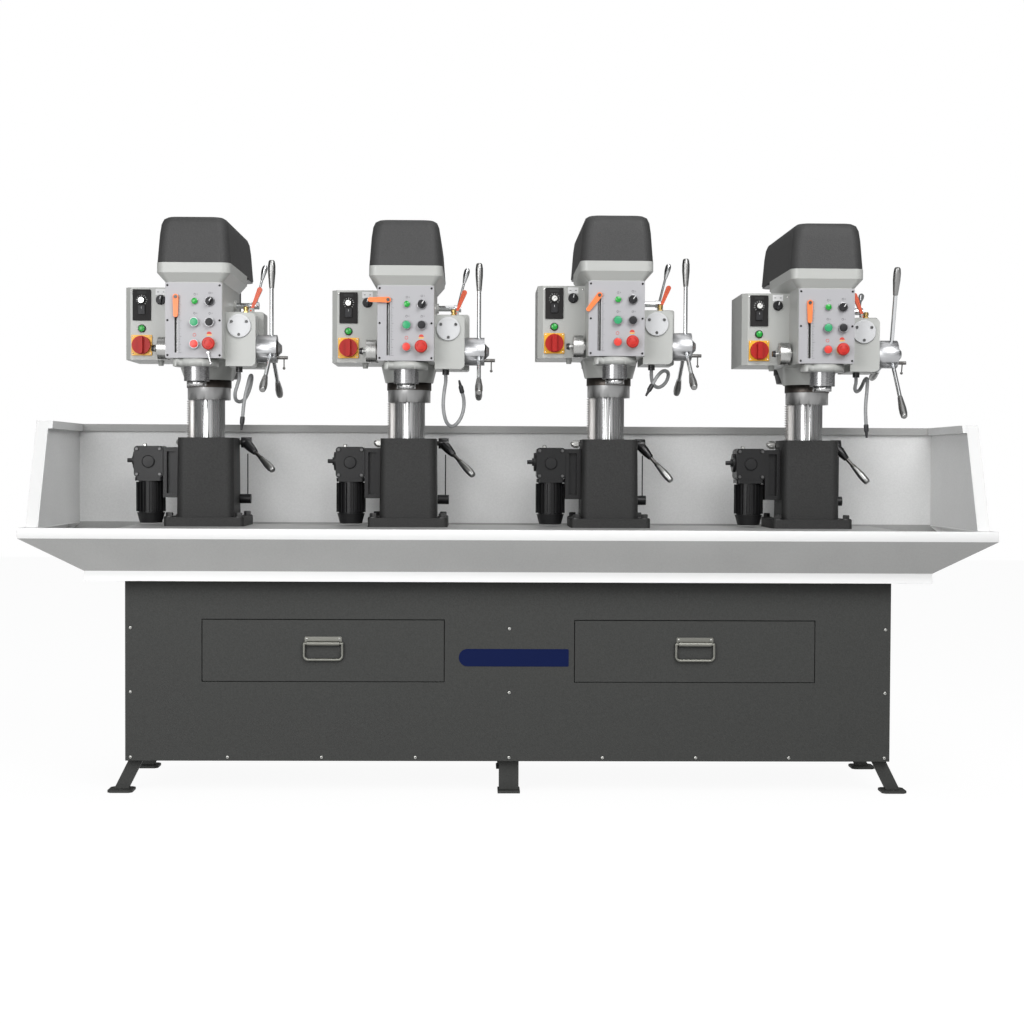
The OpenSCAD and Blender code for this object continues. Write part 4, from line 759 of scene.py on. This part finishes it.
add_turned(bm, [(0.0098, 0.0), (0.0109, 0.0), (0.0109, 0.0035), (0.0105, 0.0044), (0.0098, 0.0046), (0.0098, 0.0)],
           lamp_place, 36, in_bezel)
add_turned(bm, [(0.0097, 0.0048), (0.0097, 0.0080), (0.0085, 0.0098), (0.0050, 0.0110), (0.0, 0.0114)],
           lamp_place, 36, in_lens)
selector_place = facing_front(0.051, panel_front, panel_middle + 0.060)
add_turned(bm, [(0.0140, 0.0), (0.0162, 0.0), (0.0162, 0.0036), (0.0152, 0.0048), (0.0140, 0.0050), (0.0140, 0.0)],
           selector_place, 40, in_bezel)
add_prism(bm, selector_mark, 0.0200, 0.0206,
          selector_place @ Matrix.Rotation(math.radians(-35), 4, "Z") @ to_mark, in_white)
collar_place = facing_front(0.0495, panel_front, panel_middle - 0.074)
add_turned(bm, [(0.0162, 0.0), (0.0178, 0.0), (0.0178, 0.0060), (0.0170, 0.0078), (0.0162, 0.0082), (0.0162, 0.0)],
           collar_place, 40, in_yellow)
button_mesh = finish_mesh(bm, "panel_buttons", [
    bezel, button_green, button_black, button_red, lamp_green, mark_white, switch_yellow])

in_dark, in_edge, in_mark_red, in_mark_yellow = 1, 2, 3, 4
bm = bmesh.new()
for x in (-0.082, 0.082):
    for rise in (-0.110, 0.0, 0.110):
        add_cross_screw(bm, facing_front(x, panel_front, panel_middle + rise), 0.0034, in_dark, in_dark)
slot_x, slot_top, slot_bottom = -0.055, 0.078, -0.102
scale_x, scale_step, tick_half = slot_x + 0.0087, 0.005, 0.00035
for i in range(37):
    tick = 0.0085 if i % 10 == 0 else 0.0065 if i % 5 == 0 else 0.0042
    add_prism(bm, [(0, -tick_half), (tick, -tick_half), (tick, tick_half), (0, tick_half)], 0.0, 0.0003,
              facing_front(scale_x, panel_front, panel_middle + slot_bottom + i * scale_step), in_dark)
add_prism(bm, rounded_outline(0.0022, slot_top - slot_bottom + 0.004, 0.0006, 2), 0.0, 0.0012,
          facing_front(slot_x + 0.0062, panel_front, panel_middle + (slot_top + slot_bottom) / 2), in_edge)
for x, rise in ((0.003, 0.022), (0.051, 0.022), (0.004, 0.082), (0.051, 0.086)):
    place = facing_front(x, panel_front, panel_middle + rise)
    add_turned(bm, [(0.0026, 0.0), (0.0034, 0.0), (0.0034, 0.0003), (0.0026, 0.0003), (0.0026, 0.0)],
               place, 20, in_dark)
    add_prism(bm, rounded_outline(0.0010, 0.0040, 0.0004, 2), 0.0, 0.0003,
              place @ Matrix.Translation((0.0075, 0, 0)), in_dark)
place = facing_front(0.0495, panel_front, panel_middle - 0.043)
half_disc = [(0.0080 * math.cos(math.radians(a)), 0.0080 * math.sin(math.radians(a))) for a in range(0, 181, 15)]
add_prism(bm, half_disc, 0.0, 0.0004, place, in_mark_red)
add_prism(bm, rounded_outline(0.016, 0.0032, 0.0008, 2), 0.0, 0.0004,
          place @ Matrix.Translation((0, -0.0030, 0)), in_mark_yellow)
add_turned(bm, [(0.0040, 0.0), (0.0054, 0.0), (0.0054, 0.0003), (0.0040, 0.0003), (0.0040, 0.0)],
           facing_front(0.003, panel_front, panel_middle - 0.046), 24, in_mark_red)
slot_edge = moulded("slot_edge_grey", (0.46, 0.46, 0.47), 0.45)
scale_mesh = finish_mesh(bm, "panel_scale", [zinc, dark_print_and_recess_shade, slot_edge, mark_red, switch_yellow])
for k in stations:
    at = (station_x[k], column_y, head_rise[k])
    put(f"panel_buttons_{k}", button_mesh, f"head {k}", at)
    put(f"panel_scale_{k}", scale_mesh, f"head {k}", at)


# Electrical box fittings: the black speed panel with its dial and rocker, a selector with its
# label, a lamp, the marks and screws of the rotary main switch, and the screws of the lid.
speed_x, select_x = box_left + 0.054, box_left + 0.115
speed_skin, label_down = 0.0046, 0.0145
on_dark, on_white, on_recess, on_silver, on_button, on_lens = range(6)
bm = bmesh.new()
speed_place = facing_front(speed_x, box_front, box_top - 0.057)
add_prism(bm, rounded_outline(0.0586, 0.1006, 0.003, 4), 0.0, speed_skin, speed_place, on_dark)
dial_z, dial_radius = box_top - 0.042, 0.0155
for i in range(11):
    a = math.radians(225 - 27 * i)
    place = facing_front(speed_x + dial_radius * math.cos(a), box_front, dial_z + dial_radius * math.sin(a),
                         math.degrees(a))
    add_prism(bm, rounded_outline(0.0044, 0.0009, 0.0003, 2), speed_skin, 0.0049, place, on_white)
# Painted shade: the recess above the dial is a flat near-black strip.
add_prism(bm, rounded_outline(0.030, 0.0085, 0.001, 2), speed_skin, 0.0050,
          facing_front(speed_x, box_front, box_top - 0.0165), on_recess)
knob_place = facing_front(speed_x, box_front, dial_z)
add_turned(bm, [(0.0102, speed_skin), (0.0098, 0.0170), (0.0088, 0.0186), (0.0, 0.0187)], knob_place, 28, on_silver)
add_prism(bm, rounded_outline(0.0014, 0.008, 0.0005, 2), 0.0186, 0.0190,
          knob_place @ Matrix.Rotation(-0.7, 4, "Z") @ Matrix.Translation((0, 0.0045, 0)), on_dark)
rocker_place = facing_front(speed_x, box_front, box_top - 0.073)
add_prism(bm, rounded_outline(0.0235, 0.0315, 0.002, 3), speed_skin, 0.0072, rocker_place, on_dark)
add_prism(bm, rounded_outline(0.0206, 0.0286, 0.002, 3), 0.0072, 0.0104, rocker_place, on_button)
add_prism(bm, rounded_outline(0.0010, 0.0060, 0.0004, 2), 0.0104, 0.0107,
          rocker_place @ Matrix.Translation((0, 0.007, 0)), on_white)
place = facing_front(select_x, box_front, box_top - 0.040)
add_turned(bm, [(0.0140, 0.0), (0.0160, 0.0), (0.0160, 0.0036), (0.0150, 0.0048), (0.0140, 0.0050), (0.0140, 0.0)],
           place, 40, on_button)
add_prism(bm, selector_mark, 0.0200, 0.0206, place @ Matrix.Rotation(math.radians(-10), 4, "Z") @ to_mark, on_white)
add_prism(bm, rounded_outline(0.034, 0.020, 0.001, 2), 0.0, 0.0006,
          facing_front(select_x, box_front, box_top - label_down), on_white)
for sx in (-0.009, 0.009):
    add_prism(bm, rounded_outline(0.006, 0.0016, 0.0004, 2), 0.0006, 0.0008,
              facing_front(select_x + sx, box_front, box_top - label_down), on_dark)
place = facing_front(speed_x, box_front, box_top - 0.133)
add_turned(bm, [(0.0103, 0.0), (0.0130, 0.0), (0.0130, 0.0035), (0.0120, 0.0046), (0.0103, 0.0048), (0.0103, 0.0)],
           place, 36, on_button)
add_turned(bm, [(0.0102, 0.0048), (0.0102, 0.0080), (0.0090, 0.0100), (0.0055, 0.0112), (0.0, 0.0116)],
           place, 36, on_lens)
switch_place = facing_front(speed_x, box_front, box_top - 0.187)
for turn in (90, 0):
    mark = switch_place @ Matrix.Rotation(math.radians(turn), 4, "Z") @ Matrix.Translation((0.0308, 0, 0))
    add_prism(bm, rounded_outline(0.0030, 0.0012, 0.0004, 2), 0.0061, 0.0064, mark, on_dark)
# Painted shade: the cross recesses of these silver screws take the dark finish.
for sx in (-0.028, 0.028):
    for sz in (-0.028, 0.028):
        add_cross_screw(bm, switch_place @ Matrix.Translation((sx, sz, 0.006)), 0.0022, on_silver, on_dark)
# Painted shade: the cross recesses of these silver screws take the dark finish.
for sx, sz in ((0.010, 0.010), (0.144, 0.010), (0.144, 0.224)):
    add_cross_screw(bm, facing_front(box_left + 0.012 + sx * 0.94, box_front, box_top - 0.002 - sz), 0.0030,
                    on_silver, on_dark)
box_mesh = finish_mesh(bm, "box_fittings", [
    dark_print_and_recess_shade, mark_white, recess_painted_shade, knob_silver, button_black, lamp_green])
for k in stations:
    put(f"box_fittings_{k}", box_mesh, f"head {k}", (station_x[k], column_y, head_rise[k]))


# Quills and spindles: ground steel quill with a grey cast depth ring clamped on it, a
# polished spindle nose with its taper socket, and the depth rod that rises into the head.
spindle_steel = metal("spindle_steel", (0.52, 0.52, 0.52), 0.22, (4, 4, 70))
quill_steel = metal("quill_steel", (0.36, 0.36, 0.365), 0.26, (3, 3, 80), 0.00001, 0.08)
quill_reach, quill_skin, ring_low, ring_top = 0.265, 0.0405, 1.3615, 1.3856
for k in stations:
    def quill_finish(c, n, k=k):
        reach = math.hypot(c.x - station_x[k], c.y - column_y + quill_reach)
        return head_grey if ring_low < c.z - head_rise[k] < ring_top and reach > quill_skin else quill_steel
    paint_by_place(f"quill_{k}", [quill_steel, head_grey], quill_finish)
    soften(nodes[f"quill_{k}"], 0.0)
    dress(f"spindle_{k}", spindle_steel)


# Quill clamp: a small plated lever with a ball, hanging from a boss at the foot of the panel under
# the emergency stop. Only the first head shows one; its screw goes through into the casting.
clamp_bright = metal("clamp_lever_chrome", (0.60, 0.60, 0.60), 0.16, (30, 30, 30))
ball_radius = 0.0052
ball_line = [Vector(p) + Vector((station_x[1], column_y, head_rise[1])) for p in (
    (0.0470, -0.3400, 1.4035), (0.0490, -0.3415, 1.3935), (0.0530, -0.3425, 1.3800), (0.0560, -0.3430, 1.3690))]
bm = bmesh.new()
bm.from_mesh(tube_mesh("quill_clamp_rod", ball_line, [0.0034, 0.0028, 0.0026, 0.0024], 16))
ball = [(ball_radius * math.cos(math.radians(a)), ball_radius * math.sin(math.radians(a)))
        for a in range(-75, 76, 15)]
add_turned(bm, [(0, -ball_radius)] + ball + [(0, ball_radius)], Matrix.Translation(ball_line[-1]), 24)
add_turned(bm, [(0.0052, 0.0), (0.0052, 0.0098), (0.0040, 0.0110), (0, 0.0110)],
           facing_front(ball_line[0].x, column_y + panel_front, ball_line[0].z), 24)
put("quill_clamp_lever", finish_mesh(bm, "quill_clamp_lever", [clamp_bright]), "head 1")


# Capstans: a satin aluminium hub on the feed shaft with three screwed-in levers, each a bright
# rod with a satin steel grip, and a dark steel crank pin on the hub's end.
chrome = metal("bright_chrome", (0.66, 0.67, 0.68), 0.12, (20, 20, 20), 0.00001, 0.04)
hub_satin = metal("satin_hub_aluminium", (0.46, 0.465, 0.475), 0.38, (90, 6, 6))
grip_satin = metal("satin_grip_steel", (0.30, 0.30, 0.295), 0.36, (20, 20, 20))
gunmetal = metal("dark_crank_steel", (0.14, 0.135, 0.13), 0.36, (20, 20, 20))
feed_y, feed_z = -0.213, 1.424
hub_end, pin_radius, pin_head, crank_radius = 0.2503, 0.0105, 0.014, 0.0205
hub_reach, grip_reach = 0.0452, 0.195
for k in stations:
    def capstan_finish(c, n, k=k):
        x = c.x - station_x[k]
        reach = math.hypot(c.y - column_y - feed_y, c.z - head_rise[k] - feed_z)
        if x > hub_end + 0.0002 and reach > pin_radius:
            return gunmetal if x > hub_end + pin_head or reach > crank_radius else hub_satin
        return grip_satin if reach > grip_reach else hub_satin if reach < hub_reach else chrome
    paint_by_place(f"capstan_{k}", [chrome, hub_satin, grip_satin, gunmetal], capstan_finish)
    soften(nodes[f"capstan_{k}"], 0.0)


# Hand levers: moulded orange depth and feed levers, a plated gear lever, and the pedestal's
# clamp lever with a black hub and arm, dark steel rod and satin grip.
lever_orange = moulded("lever_orange", (0.95, 0.22, 0.055), 0.34)
feed_orange = moulded("feed_lever_orange", (0.80, 0.11, 0.035), 0.34)
clamp_turn = {1: 44, 2: 53, 3: 66, 4: 69}
clamp_y, clamp_z = 0.078, 1.126
clamp_foot, clamp_end, clamp_hub, clamp_grip = 0.0965, 0.1315, 0.0185, 0.082
arm_out, arm_down = 0.611, 0.7915
arm_places, arm_radii = (0.0, 0.010, 0.034, 0.060, 0.064), [0.0150, 0.0165, 0.0150, 0.0105, 0.0085]
for k in stations:
    dress(f"depth_lever_{k}", lever_orange, 0.0012, 40.0)
    dress(f"feed_lever_{k}", feed_orange, 0.0012, 40.0)
    dress(f"gear_lever_{k}", chrome)

    def clamp_finish(c, n, k=k):
        x = c.x - station_x[k]
        reach = math.hypot(c.y - column_y - clamp_y, c.z - clamp_z)
        if x < clamp_end and reach < clamp_hub:
            return knob_black if x > clamp_foot else gunmetal
        return grip_satin if reach > clamp_grip else gunmetal
    paint_by_place(f"clamp_lever_{k}", [gunmetal, knob_black, grip_satin], clamp_finish)
    soften(nodes[f"clamp_lever_{k}"], 0.0)
    turn = math.radians(clamp_turn[k])
    out = Vector((arm_out, -arm_down * math.cos(turn), -arm_down * math.sin(turn)))
    root = Vector((station_x[k] + 0.111, column_y + clamp_y, clamp_z))
    arm = bpy.data.objects.new(f"clamp_arm_{k}", tube_mesh(
        f"clamp_arm_{k}", [root + out * d for d in arm_places], arm_radii, 24))
    arm.data.materials.append(knob_black)
    bpy.context.scene.collection.objects.link(arm)
    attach(arm, f"clamp lever {k}")
    bm = bmesh.new()
    add_turned(bm, [(0.0052, -0.0002), (0.0052, 0.0030), (0.0044, 0.0036), (0.0024, 0.0036), (0.0024, 0.0016),
                    (0, 0.0016)], facing_front(-0.055, -0.340, 1.5785), 20)
    put(f"depth_lever_screw_{k}", finish_mesh(bm, f"depth_lever_screw_{k}", [bolt_steel]),
        f"depth lever {k}", (station_x[k], column_y, head_rise[k]))


# Emergency stops: red moulded mushroom heads on a stem, with turn-to-release arrows on the face.
# Each is pushed in through its yellow collar on the front panel.
stop_red = moulded("stop_red", (0.56, 0.028, 0.020), 0.36, mirror=0.35)
stop_x, stop_z, stop_face = 0.0495, 1.4315, -0.359
bm = bmesh.new()
for turn in (0, 120, 240):
    arc = [(0.0125, a) for a in range(0, 71, 10)] + [(0.0108, a) for a in range(70, -1, -10)]
    outline = [(r * math.cos(math.radians(a)), r * math.sin(math.radians(a))) for r, a in arc]
    add_prism(bm, outline, 0.0005, 0.0011, facing_front(stop_x, stop_face + 0.0003, stop_z, turn))
arrow_mesh = finish_mesh(bm, "stop_arrows", [switch_red])
for k in stations:
    dress(f"estop_{k}", stop_red, 0.0008, 40.0)
    put(f"stop_arrows_{k}", arrow_mesh, f"estop {k}", (station_x[k], column_y, head_rise[k]))
